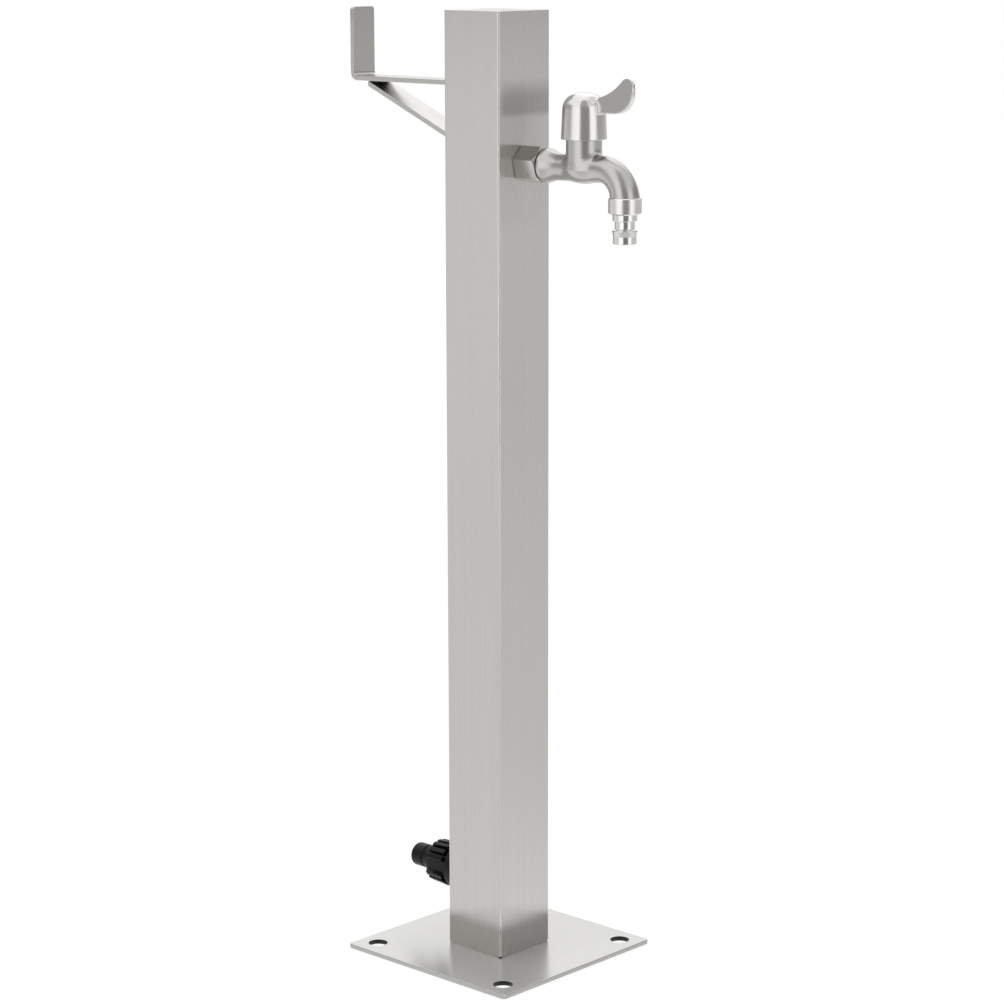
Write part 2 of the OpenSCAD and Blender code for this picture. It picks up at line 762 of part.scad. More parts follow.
// Black connector: flange inside the collar, shank, shoulder, groove and round nose
module connector_body() {
  nose_r = inlet_nose_d / 2;
  tip = 2.5;
  color("darkslategray") translate([0, 0, inlet_z]) difference() {
    x_turned(concat(
      [[0, -body_flange_at], [nipple_d / 2 - 0.2, -body_flange_at],
       [nipple_d / 2 - 0.2, -body_flange_at - body_flange_t],
       [shank_r, -body_flange_at - body_flange_t], [shank_r, -shoulder_at],
       [nose_r + shoulder_rise, -shoulder_at], [nose_r, -shoulder_at - shoulder_len],
       [nose_r - groove_depth, -shoulder_at - shoulder_len],
       [nose_r - groove_depth, -inlet_nose_at],
       [nose_r, -inlet_nose_at]],
      arc(nose_r - tip, -inlet_tip_at + tip, tip, 0, -90, 5),
      [[0, -inlet_tip_at]]));
    x_rod(-inlet_tip_at - over, 0, inlet_bore_d / 2);
  }
}

module connector_oring() {
  at = shoulder_at + shoulder_len + groove_len / 2;
  color("black") translate([-at, 0, inlet_z]) rotate([0, 90, 0]) rotate_extrude()
    translate([inlet_nose_d / 2 - groove_depth / 2, 0]) circle(d = groove_depth);
}

// One rib of the connector's grip, along X: a short ramp at its front end, then a slow rise
// towards the column
module connector_rib(front, rear, low_r, front_r, rear_r, w) {
  ramp = 2;
  translate([0, w / 2, 0]) rotate([90, 0, 0]) linear_extrude(w) polygon([
    [-rear, low_r], [-front, low_r], [ramp - front, front_r], [-rear, rear_r]]);
}

// Collar that screws the connector onto the nipple: neck, grip with two fans of seven ribs
// and a flat panel on either side between them, groove and rear ring
module connector_collar() {
  core_r = connector_core_d / 2;
  grip_r = connector_grip_d / 2;
  front_r = inlet_nose_d / 2 + shoulder_rise;
  neck_rise = 1.3;
  collar_neck_len = 8;
  neck_at = collar_end_at - collar_neck_len;
  panel_depth = 0.8;
  panel_at = core_r - panel_depth;
  ring_t = 8.5;
  ring_gap = 3.5;
  rib_w = 4;
  rib_step = 21;
  color("darkslategray") translate([0, 0, inlet_z]) difference() {
    union() {
      x_turned([[0, -collar_end_at], [front_r, -collar_end_at],
                [front_r + neck_rise, -neck_at], [front_r + neck_rise, over - neck_at],
                [0, over - neck_at]]);
      intersection() {
        x_rod(-neck_at, -collar_at, core_r);
        translate([-neck_at - over, -panel_at, -core_r - over])
          cube([connector_len, 2 * panel_at, 2 * core_r + 2 * over]);
      }
      x_turned([[0, -collar_at - ring_t], [grip_r - 1, -collar_at - ring_t],
                [grip_r, -collar_at - ring_t + 1], [grip_r, -collar_at], [0, -collar_at]]);
      for (half = [0, 180], i = [-3:3]) rotate([half + i * rib_step, 0, 0])
        connector_rib(neck_at, collar_at + ring_t + ring_gap, core_r - 2, grip_r - 1.1, grip_r, rib_w);
    }
    x_rod(-body_lip_at, 0, nipple_d / 2 + running_gap);
    x_rod(-collar_end_at - over, 0, shank_r + running_gap);
  }
}

base_plate();
column_tube();
column_cap();
bracket_arm();
bracket_strut();
tap_socket();
tap_socket_washer();
tap_socket_locknut();
tap_gasket();
tap_body();
cartridge_seal();
cartridge_fixed_disc();
cartridge_moving_disc();
cartridge_housing();
cartridge_spindle();
spindle_oring();
handle();
handle_screw();
outlet_collar();
outlet_washer();
hose_nozzle();
upper_elbow();
upper_olive();
upper_pipe_nut();
supply_pipe();
lower_pipe_nut();
lower_olive();
lower_elbow();
inlet_washer();
inlet_locknut();
inlet_gasket();
inlet_nipple();
connector_washer();
connector_body();
connector_oring();
connector_collar();
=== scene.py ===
# Garden standpipe, dressed for rendering. Shapes are worked out in millimetres and written in metres.
import json
import math

import bmesh
import bpy
import numpy as np
from mathutils import Matrix, Vector


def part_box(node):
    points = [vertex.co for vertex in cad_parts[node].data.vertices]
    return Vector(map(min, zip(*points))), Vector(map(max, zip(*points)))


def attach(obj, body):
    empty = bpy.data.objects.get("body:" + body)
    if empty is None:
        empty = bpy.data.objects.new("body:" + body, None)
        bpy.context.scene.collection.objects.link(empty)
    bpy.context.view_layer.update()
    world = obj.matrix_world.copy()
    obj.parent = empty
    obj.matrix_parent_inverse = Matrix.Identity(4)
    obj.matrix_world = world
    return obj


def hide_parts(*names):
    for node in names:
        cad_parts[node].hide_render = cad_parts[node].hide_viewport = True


mm = 0.001
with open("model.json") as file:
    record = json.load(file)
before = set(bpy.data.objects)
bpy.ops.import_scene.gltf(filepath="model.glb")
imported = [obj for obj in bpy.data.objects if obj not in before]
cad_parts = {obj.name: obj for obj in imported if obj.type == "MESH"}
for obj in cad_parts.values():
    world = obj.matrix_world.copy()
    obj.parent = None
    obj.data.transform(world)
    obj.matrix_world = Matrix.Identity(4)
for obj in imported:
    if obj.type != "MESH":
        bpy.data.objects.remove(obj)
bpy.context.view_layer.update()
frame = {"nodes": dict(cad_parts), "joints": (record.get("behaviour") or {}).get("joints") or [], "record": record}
print("frame loaded:", len(frame["nodes"]), "nodes")


# A node's lowest and highest corner in millimetres, and a joint's place
def nodeBox(name):
    return [np.array(corner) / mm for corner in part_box(name)]


def jointAt(name):
    return next(np.array(joint["pos_m"]) / mm for joint in frame["joints"] if joint["name"] == name)


# Surface tools

# Joins neighbours of a grid of points[u, v] into quads (u, v), (u+1, v), (u+1, v+1), (u, v+1)
def gridShell(points, loopU=False, loopV=False):
    nu, nv = points.shape[:2]
    index = np.arange(nu * nv).reshape(nu, nv)
    if loopU:
        index = np.vstack((index, index[:1]))
    if loopV:
        index = np.hstack((index, index[:, :1]))
    quads = np.stack((index[:-1, :-1], index[1:, :-1], index[1:, 1:], index[:-1, 1:]), axis=-1)
    return points.reshape(-1, 3), quads.reshape(-1, 4)


# Makes one mesh object of several shells: seams merged, poles closed, faces turned outwards
def makeMesh(name, shells):
    corners = np.concatenate([shell[0] for shell in shells]) * mm
    starts = np.cumsum([0] + [len(shell[0]) for shell in shells[:-1]])
    faces = [face for shell, start in zip(shells, starts) for face in (shell[1] + start).tolist()]
    mesh = bpy.data.meshes.new(name)
    mesh.from_pydata(corners.tolist(), [], faces)
    tidy = bmesh.new()
    tidy.from_mesh(mesh)
    bmesh.ops.remove_doubles(tidy, verts=tidy.verts, dist=2e-6)
    bmesh.ops.recalc_face_normals(tidy, faces=tidy.faces)
    tidy.to_mesh(mesh)
    tidy.free()
    piece = bpy.data.objects.new(name, mesh)
    bpy.context.scene.collection.objects.link(piece)
    return piece


# Takes the cutters' shells out of a piece
def carve(piece, shells):
    for shell in shells:
        cutter = makeMesh("cutter", [shell])
        modifier = piece.modifiers.new("carve", "BOOLEAN")
        modifier.operation = "DIFFERENCE"
        modifier.solver = "MANIFOLD"
        modifier.object = cutter
        graph = bpy.context.evaluated_depsgraph_get()
        cut = bpy.data.meshes.new_from_object(piece.evaluated_get(graph), depsgraph=graph)
        piece.modifiers.clear()
        old = piece.data
        piece.data = cut
        bpy.data.meshes.remove(old)
        bpy.data.objects.remove(cutter)


# Gives a piece its shading, its slot's material, its body and the CAD nodes that it stands for
def finishPiece(piece, body, slot, nodes, sharpAt=32):
    piece.data.shade_smooth()
    piece.data.set_sharp_from_angle(angle=math.radians(sharpAt))
    piece.data.materials.clear()
    piece.data.materials.append(looks[slot])
    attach(piece, body)
    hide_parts(*nodes)
    print("made", piece.name, len(piece.data.polygons), "faces")


# Rounds a polygon given as rows of (x, y, corner radius): a corner becomes an arc of its radius that
# touches both sides, and every long side gets two extra points so that it shades flat. A turned
# profile's rows are (distance from the axis, station along it, corner radius)
def rounded(rows, closed=True, steps=6, hold=0.2):
    rows = np.asarray(rows, float)
    corners, radii = rows[:, :2], rows[:, 2]
    count = len(corners)
    arcs = []
    for k in range(count):
        here, before, after = corners[k], corners[k - 1], corners[(k + 1) % count]
        loose = not closed and k in (0, count - 1)
        if radii[k] <= 0 or loose:
            arcs.append(here[None])
            continue
        a = (before - here) / np.linalg.norm(before - here)
        b = (after - here) / np.linalg.norm(after - here)
        half = math.acos(np.clip(a @ b, -1, 1)) / 2
        centre = here + (a + b) / np.linalg.norm(a + b) * radii[k] / math.sin(half)
        first = here + a * radii[k] / math.tan(half) - centre
        last = here + b * radii[k] / math.tan(half) - centre
        turn = math.atan2(first[0] * last[1] - first[1] * last[0], first @ last)
        t = np.linspace(0, turn, steps + 1)[:, None]
        swing = np.hstack((-first[1:], first[:1]))
        arcs.append(centre + np.cos(t) * first + np.sin(t) * swing)
    line = []
    for k in range(count):
        line.append(arcs[k])
        if not closed and k == count - 1:
            break
        start, stop = arcs[k][-1], arcs[(k + 1) % count][0]
        length = np.linalg.norm(stop - start)
        if length > 4 * hold:
            line.append(start + (stop - start) * np.array([[hold], [length - hold]]) / length)
    return np.concatenate(line)


# The two sides and the main direction of a shape that is turned about X or Z
sideOf = {"x": ((0, 0, 1), (0, -1, 0), (1, 0, 0)), "z": ((1, 0, 0), (0, 1, 0), (0, 0, 1))}


# Ring angle a, row k: centre + along[k] * main + radius[k] * (cos a * first side + sin a * second side)
def polarShell(along, radius, angle, centre, axis, loop):
    first, second, main = (np.array(v, float) for v in sideOf[axis])
    spoke = np.cos(angle)[:, None] * first + np.sin(angle)[:, None] * second
    points = np.array(centre) + along[..., None] * main + radius[..., None] * spoke
    return gridShell(points, loopU=loop, loopV=True)


# Turns a profile of (radius, station) about an axis
def turnedShell(profile, centre, axis="z", loop=True, count=144):
    angle = np.linspace(0, 2 * math.pi, count, endpoint=False)
    wide = np.ones(count)
    return polarShell(profile[:, 1:] * wide, profile[:, :1] * wide, angle, centre, axis, loop)


# Round plug between two stations of an axis: the turned profile of a plain cylinder
def plugShell(radius, start, stop, centre, axis, count=144):
    profile = np.array([(0, start), (radius, start), (radius, stop), (0, stop)])
    return turnedShell(profile, centre, axis, loop=False, count=count)


# Round rod between two points: rings of the radius square to the line, closed at both ends
def rodShell(start, stop, radius, count=48):
    start, stop = np.array(start, float), np.array(stop, float)
    main = (stop - start) / np.linalg.norm(stop - start)
    first = np.cross(main, (0, 0, 1) if abs(main[2]) < 0.9 else (1, 0, 0))
    first /= np.linalg.norm(first)
    angle = np.linspace(0, 2 * math.pi, count, endpoint=False)
    spoke = np.cos(angle)[:, None] * first + np.sin(angle)[:, None] * np.cross(main, first)
    core = np.stack((start, start, stop, stop))
    size = np.array([0.0, radius, radius, 0.0])
    return gridShell(core[:, None] + size[:, None, None] * spoke, loopV=True)


# Angles round a hexagon with rounded corners, and its radius at each: on a flat the radius is
# half the width over cos(angle from the flat's middle), on a corner it follows the corner's arc
def hexOutline(width, cornerR, turn, hold=0.012):
    half = width / 2
    reach = (half - cornerR) / math.cos(math.pi / 6)
    edge = math.pi / 6 - math.atan(reach / 2 / half)
    bend = np.linspace(-edge, edge, 7)
    flat = np.linspace(edge, math.pi / 3 - edge, 11)[1:-1]
    flat[0], flat[-1] = edge + hold, math.pi / 3 - edge - hold
    off = np.concatenate((bend, flat))
    onCorner = np.arange(len(off)) < len(bend)
    arc = reach * np.cos(off) + np.sqrt(np.maximum(cornerR ** 2 - (reach * np.sin(off)) ** 2, 0))
    radius = np.where(onCorner, arc, half / np.cos(off - math.pi / 6))
    sixths = np.arange(6)[:, None] * math.pi / 3
    return (math.radians(turn) + sixths + off).ravel(), np.tile(radius, 6)


# Flat bar carried along a path and closed at both ends: at row k its section is a rectangle of half
# sizes wide[k] along across[k] and thick[k] along over[k], with corners of the edge's radius
def barShell(path, across, over, wide, thick, edge, hold=0.2, steps=5):
    arc = np.linspace(0, math.pi / 2, steps + 1)
    dirA = np.concatenate(([1], np.cos(arc), [0]))
    dirB = np.concatenate(([0], np.sin(arc), [1]))
    holdA = np.concatenate(([0], np.zeros(steps + 1), [-1])) * hold
    holdB = np.concatenate(([-1], np.zeros(steps + 1), [0])) * hold
    across, over = (np.broadcast_to(v, path.shape) for v in (across, over))
    path, across, over = (np.concatenate((v[:1], v, v[-1:])) for v in (path, across, over))
    wide, thick = (np.pad(v, 1)[:, None] for v in (wide, thick))
    soft = np.minimum(edge, np.minimum(wide, thick))
    some = np.minimum(1, np.minimum(wide, thick) / (soft + hold + 1e-9))
    a = wide - soft + soft * dirA + holdA * some
    b = thick - soft + soft * dirB + holdB * some
    a = np.hstack((a, -a[:, ::-1], -a, a[:, ::-1]))
    b = np.hstack((b, b[:, ::-1], -b, -b[:, ::-1]))
    points = path[:, None] + a[..., None] * across[:, None] + b[..., None] * over[:, None]
    return gridShell(points, loopV=True)


# Round bar along a path of (x, z): path point + radius * (cos a * sideways + sin a * Y), both ends closed
def pipeShell(path, radius, count=72):
    step = np.gradient(path, axis=0)
    step /= np.linalg.norm(step, axis=1)[:, None]
    side = np.stack((-step[:, 1], 0 * step[:, 0], step[:, 0]), axis=1)
    core = np.stack((path[:, 0], 0 * path[:, 0], path[:, 1]), axis=1)
    core, side = (np.concatenate((v[:1], v, v[-1:])) for v in (core, side))
    angle = np.linspace(0, 2 * math.pi, count, endpoint=False)[None, :, None]
    spoke = np.cos(angle) * side[:, None] + np.sin(angle) * np.array((0.0, 1.0, 0.0))
    size = np.pad(np.full(len(path), radius), 1)[:, None, None]
    return gridShell(core[:, None] + size * spoke, loopV=True)


# Skin of a solid given by a field that is negative inside: every grid cell that the skin passes
# gets one point at the mean of its edge crossings, cells round a crossed edge are joined, and the
# points then slide along the field's gradient g by -f g / |g|^2 until f = 0
def castShell(field, low, high, step, slides=5, probe=0.02, leastSlope=0.04):
    axes = [np.arange(a, b + step, step) for a, b in zip(low, high)]
    grid = np.stack(np.meshgrid(*axes, indexing="ij"), axis=-1)
    value = field(grid.reshape(-1, 3)).reshape(grid.shape[:3])
    inside = value < 0
    cells = tuple(n - 1 for n in inside.shape)
    total = np.zeros(cells + (3,))
    hits = np.zeros(cells)
    for axis in range(3):
        one = np.moveaxis(value, axis, 0)
        crossed = (one[:-1] < 0) != (one[1:] < 0)
        share = np.where(crossed, one[:-1] / np.where(crossed, one[:-1] - one[1:], 1), 0)
        spots = np.moveaxis(grid, axis, 0)[:-1].copy()
        spots[..., axis] += share * step
        spots = np.moveaxis(spots * crossed[..., None], 0, axis)
        crossed = np.moveaxis(crossed, 0, axis)
        beside, above = [n for n in range(3) if n != axis]
        for i in (0, 1):
            for j in (0, 1):
                pick = [slice(0, n) for n in cells]
                pick[beside] = slice(i, i + cells[beside])
                pick[above] = slice(j, j + cells[above])
                total += spots[tuple(pick)]
                hits += crossed[tuple(pick)]
    active = hits > 0
    number = np.full(cells, -1)
    number[active] = np.arange(active.sum())
    points = total[active] / hits[active][:, None]
    quads = []
    for axis in range(3):
        one = np.moveaxis(inside, axis, 0)
        ids = np.moveaxis(number, axis, 0)
        if axis == 1:
            one, ids = np.swapaxes(one, 1, 2), np.swapaxes(ids, 1, 2)
        crossed = (one[:-1] != one[1:])[:, 1:-1, 1:-1]
        ring = np.stack((ids[:, :-1, :-1], ids[:, 1:, :-1], ids[:, 1:, 1:], ids[:, :-1, 1:]), axis=-1)
        leaving = one[:-1][:, 1:-1, 1:-1]
        quads.append(ring[crossed & leaving])
        quads.append(ring[crossed & ~leaving][:, ::-1])
    for _ in range(slides):
        f = field(points)
        rise = np.stack([field(points + d) - field(points - d) for d in np.eye(3) * probe], axis=1)
        slope = rise / (2 * probe)
        points = points - f[:, None] * slope / np.maximum((slope ** 2).sum(1), leastSlope)[:, None]
    return points, np.concatenate(quads)


# Two solids melted together: the smaller value, lowered near the seam by
# blend / 4 * (1 - |a - b| / blend)^2
def melt(a, b, blend):
    near = np.maximum(blend - np.abs(a - b), 0) / blend
    return np.minimum(a, b) - near ** 2 * blend / 4


# Signed distance to a closed outline: to the nearest point of any side, negative inside, where a
# line drawn sideways crosses an odd number of sides
def outlineDistance(px, pz, outline):
    nearest = np.full(len(px), np.inf)
    inside = np.zeros(len(px), bool)
    for (ax, az), (bx, bz) in zip(outline, np.roll(outline, -1, axis=0)):
        dx, dz, sideX, sideZ = px - ax, pz - az, bx - ax, bz - az
        t = np.clip((dx * sideX + dz * sideZ) / (sideX ** 2 + sideZ ** 2), 0, 1)
        nearest = np.minimum(nearest, (dx - t * sideX) ** 2 + (dz - t * sideZ) ** 2)
        if sideZ:
            inside ^= ((az > pz) != (bz > pz)) & (dx < dz * sideX / sideZ)
    return np.where(inside, -1, 1) * np.sqrt(nearest)


# Points of a circular arc from angle a0 to a1, in degrees
def arcLine(cx, cz, r, a0, a1, count):
    a = np.radians(np.linspace(a0, a1, count))
    return np.stack((cx + r * np.cos(a), cz + r * np.sin(a)), axis=1)


# Material tools

# Empties the tree of a material or a world and gives it an output
def freshTree(holder, outputKind):
    holder.use_nodes = True
    tree = holder.node_tree
    tree.nodes.clear()
    return tree, tree.nodes.new(outputKind)


def newMaterial(name):
    material = bpy.data.materials.new(name)
    tree, out = freshTree(material, "ShaderNodeOutputMaterial")
    shader = tree.nodes.new("ShaderNodeBsdfPrincipled")
    tree.links.new(shader.outputs["BSDF"], out.inputs["Surface"])
    return material, tree, shader


# A finished material's tree and main shader, for a touch that is added to it
def insideOf(material):
    tree = material.node_tree
    return tree, next(node for node in tree.nodes if node.type == "BSDF_PRINCIPLED")


# Noise on object coordinates, stretched by scale (cycles per metre along each axis)
def noiseOn(tree, scale, detail=4.0, rough=0.55):
    where = tree.nodes.new("ShaderNodeTexCoord")
    mapping = tree.nodes.new("ShaderNodeMapping")
    mapping.vector_type = "POINT"
    mapping.inputs["Scale"].default_value = scale
    noise = tree.nodes.new("ShaderNodeTexNoise")
    noise.inputs["Scale"].default_value = 1.0
    noise.inputs["Detail"].default_value = detail
    noise.inputs["Roughness"].default_value = rough
    tree.links.new(where.outputs["Object"], mapping.inputs["Vector"])
    tree.links.new(mapping.outputs["Vector"], noise.inputs["Vector"])
    return noise.outputs["Fac"]


# Colour ramp through stops of (place, colour)
def rampOf(tree, value, stops):
    ramp = tree.nodes.new("ShaderNodeValToRGB")
    ramp.color_ramp.elements[0].position = stops[0][0]
    ramp.color_ramp.elements[0].color = (*stops[0][1], 1)
    ramp.color_ramp.elements[1].position = stops[-1][0]
    ramp.color_ramp.elements[1].color = (*stops[-1][1], 1)
    for place, colour in stops[1:-1]:
        ramp.color_ramp.elements.new(place).color = (*colour, 1)
    tree.links.new(value, ramp.inputs["Fac"])
    return ramp.outputs["Color"]


# Carries a value from start..stop to low..high, and holds it at the ends
def spread(tree, value, low, high, start=0.3, stop=0.7):
    span = tree.nodes.new("ShaderNodeMapRange")
    span.inputs["From Min"].default_value = start
    span.inputs["From Max"].default_value = stop
    span.inputs["To Min"].default_value = low
    span.inputs["To Max"].default_value = high
    tree.links.new(value, span.inputs["Value"])
    return span.outputs["Result"]


# The same between two places in millimetres
def between(tree, value, places, low=0, high=1):
    return spread(tree, value, low, high, places[0] * mm, places[1] * mm)


def mathOf(tree, operation, *values):
    node = tree.nodes.new("ShaderNodeMath")
    node.operation = operation
    for socket, value in zip(node.inputs, values):
        if isinstance(value, (int, float)):
            socket.default_value = value
        else:
            tree.links.new(value, socket)
    return node.outputs["Value"]


def timesOf(tree, a, b):
    return mathOf(tree, "MULTIPLY", a, b)


# The wanted axes of the object coordinates, or of the object's own normal
def axesOf(tree, wanted, kind="Object"):
    where = tree.nodes.new("ShaderNodeTexCoord")
    parts = tree.nodes.new("ShaderNodeSeparateXYZ")
    tree.links.new(where.outputs[kind], parts.inputs["Vector"])
    return [parts.outputs[axis] for axis in wanted]


# |x| and |y| of the object coordinates
def absXY(tree):
    return [mathOf(tree, "ABSOLUTE", one) for one in axesOf(tree, "XY")]


# Lays a colour over the shader's own where the mask is 1; MULTIPLY tints it instead
def layOver(tree, shader, mask, colour, blend="MIX"):
    mix = tree.nodes.new("ShaderNodeMixRGB")
    mix.blend_type = blend
    mix.inputs["Color2"].default_value = (*colour, 1)
    tree.links.new(mask, mix.inputs["Fac"])
    tree.links.new(shader.inputs["Base Color"].links[0].from_socket, mix.inputs["Color1"])
    tree.links.new(mix.outputs["Color"], shader.inputs["Base Color"])


# Lifts the normal by a height between 0 and 1, over a distance in metres
def bumpBy(tree, shader, height, strength, distance):
    bump = tree.nodes.new("ShaderNodeBump")
    bump.inputs["Strength"].default_value = strength
    bump.inputs["Distance"].default_value = distance
    tree.links.new(height, bump.inputs["Height"])
    tree.links.new(bump.outputs["Normal"], shader.inputs["Normal"])


# Brushed metal: fine streaks along the grain tint the colour, vary the gloss and lift the normal,
# and broad soft streaks cloud the tone. lay = cycles per metre of the streaks, drift = of the
# clouds, streak and cloud = how strongly they show, rough = the span of the roughness
def brushedMetal(name, tone, lay, drift, rough, streak, cloud, lift=0.04, aniso=0.0, tangent=None,
                 metallic=1.0):
    material, tree, shader = newMaterial(name)
    fine = noiseOn(tree, lay, detail=5.0, rough=0.62)
    broad = noiseOn(tree, drift, detail=2.0)
    both = mathOf(tree, "MULTIPLY_ADD", broad, cloud / streak, fine)
    middle = 0.5 + 0.5 * cloud / streak
    reach = 0.44  # share of the middle value that the ramp covers on either side
    level = spread(tree, both, 0, 1, middle * (1 - reach), middle * (1 + reach))
    dark = tuple(c * (1 - streak) for c in tone)
    light = tuple(c * (1 + streak) for c in tone)
    tree.links.new(rampOf(tree, level, [(0.0, dark), (1.0, light)]), shader.inputs["Base Color"])
    tree.links.new(spread(tree, fine, rough[0], rough[1]), shader.inputs["Roughness"])
    bumpBy(tree, shader, fine, lift, 0.0003)
    shader.inputs["Metallic"].default_value = metallic
    shader.inputs["Anisotropic"].default_value = aniso
    if tangent:
        along = tree.nodes.new("ShaderNodeTangent")
        along.direction_type = "RADIAL"
        along.axis = tangent
        tree.links.new(along.outputs["Tangent"], shader.inputs["Tangent"])
    return material


# Moulded black plastic or rubber: faint mottling of the tone and of the gloss
def blackPlastic(name, tone, rough, shine):
    material, tree, shader = newMaterial(name)
    fine = noiseOn(tree, (900, 900, 900), detail=3.0)
    broad = noiseOn(tree, (60, 60, 60), detail=3.0)
    light = tuple(c * 1.7 for c in tone)
    tree.links.new(rampOf(tree, broad, [(0.35, tone), (0.75, light)]), shader.inputs["Base Color"])
    tree.links.new(spread(tree, fine, rough[0], rough[1]), shader.inputs["Roughness"])
    shader.inputs["Specular IOR Level"].default_value = shine
    bumpBy(tree, shader, fine, 0.08, 0.0002)
    return material


# Polished ceramic with a faint cloud in its white
def whiteCeramic(name, dark, light, rough):
    material, tree, shader = newMaterial(name)
    tone = rampOf(tree, noiseOn(tree, (300, 300, 300)), [(0.3, dark), (0.7, light)])
    tree.links.new(tone, shader.inputs["Base Color"])
    shader.inputs["Roughness"].default_value = rough
    return material


# One material for each slot
looks = {
    "column_steel": brushedMetal("columnSteel", tone=(0.6, 0.592, 0.572), lay=(1300, 1300, 7),
                                 drift=(170, 170, 2.5), rough=(0.26, 0.31), streak=0.015, cloud=0.05,
                                 lift=0.012, aniso=1.0),
    "plate_steel": brushedMetal("plateSteel", tone=(0.67, 0.666, 0.652), lay=(1300, 7, 1300),
                                drift=(120, 3, 120), rough=(0.21, 0.25), streak=0.015, cloud=0.02,
                                lift=0.008, aniso=0.7, tangent="Y", metallic=0.72),
    "bracket_steel": brushedMetal("bracketSteel", tone=(0.55, 0.543, 0.527), lay=(40, 1300, 40),
                                  drift=(8, 200, 8), rough=(0.22, 0.28), streak=0.03, cloud=0.03,
                                  aniso=0.4),
    "socket_steel": brushedMetal("socketSteel", tone=(0.56, 0.546, 0.528), lay=(60, 1400, 1400),
                                 drift=(30, 200, 200), rough=(0.2, 0.26), streak=0.03, cloud=0.03),
    "tap_steel": brushedMetal("tapSteel", tone=(0.505, 0.498, 0.484), lay=(1800, 1800, 1800),
                              drift=(60, 60, 60), rough=(0.26, 0.3), streak=0.008, cloud=0.02,
                              lift=0.002),
    "handle_steel": brushedMetal("handleSteel", tone=(0.67, 0.662, 0.645), lay=(1500, 1500, 120),
                                 drift=(250, 250, 20), rough=(0.14, 0.19), streak=0.02, cloud=0.03,
                                 lift=0.015),
    "outlet_steel": brushedMetal("outletSteel", tone=(0.7, 0.695, 0.685), lay=(60, 60, 2500),
                                 drift=(20, 20, 500), rough=(0.1, 0.16), streak=0.02, cloud=0.02,
                                 lift=0.02),
    "turned_steel": brushedMetal("turnedSteel", tone=(0.58, 0.575, 0.565), lay=(60, 1600, 1600),
                                 drift=(20, 300, 300), rough=(0.22, 0.32), streak=0.05, cloud=0.03),
    "fitting_brass": brushedMetal("fittingBrass", tone=(0.62, 0.44, 0.17), lay=(900, 900, 900),
                                  drift=(60, 60, 60), rough=(0.22, 0.34), streak=0.05, cloud=0.03),
    "disc_ceramic": whiteCeramic("ceramicWhite", (0.82, 0.81, 0.77), (0.88, 0.87, 0.84), rough=0.18),
    "seal_rubber": blackPlastic("sealRubber", (0.012, 0.012, 0.012), rough=(0.55, 0.7), shine=0.3),
    "connector_plastic": blackPlastic("connectorPlastic", (0.004, 0.004, 0.0045), rough=(0.26, 0.36),
                                      shine=0.18)}
print("materials ready")


# Base plate

# The plate's rim colour is partly its duller cut finish and partly painted shade
plate = dict(half=nodeBox("base_plate")[1][0], top=nodeBox("base_plate")[1][2], cornerR=3.0, edgeR=0.6,
             holeAt=74.0, holeR=8.0, rimR=0.35, scorch=(0.035, 0.034, 0.033), scorchOut=(0.1, 0.35),
             rimShade=(0.44, 0.435, 0.42), rimShadeIn=(0.55, 0.2))


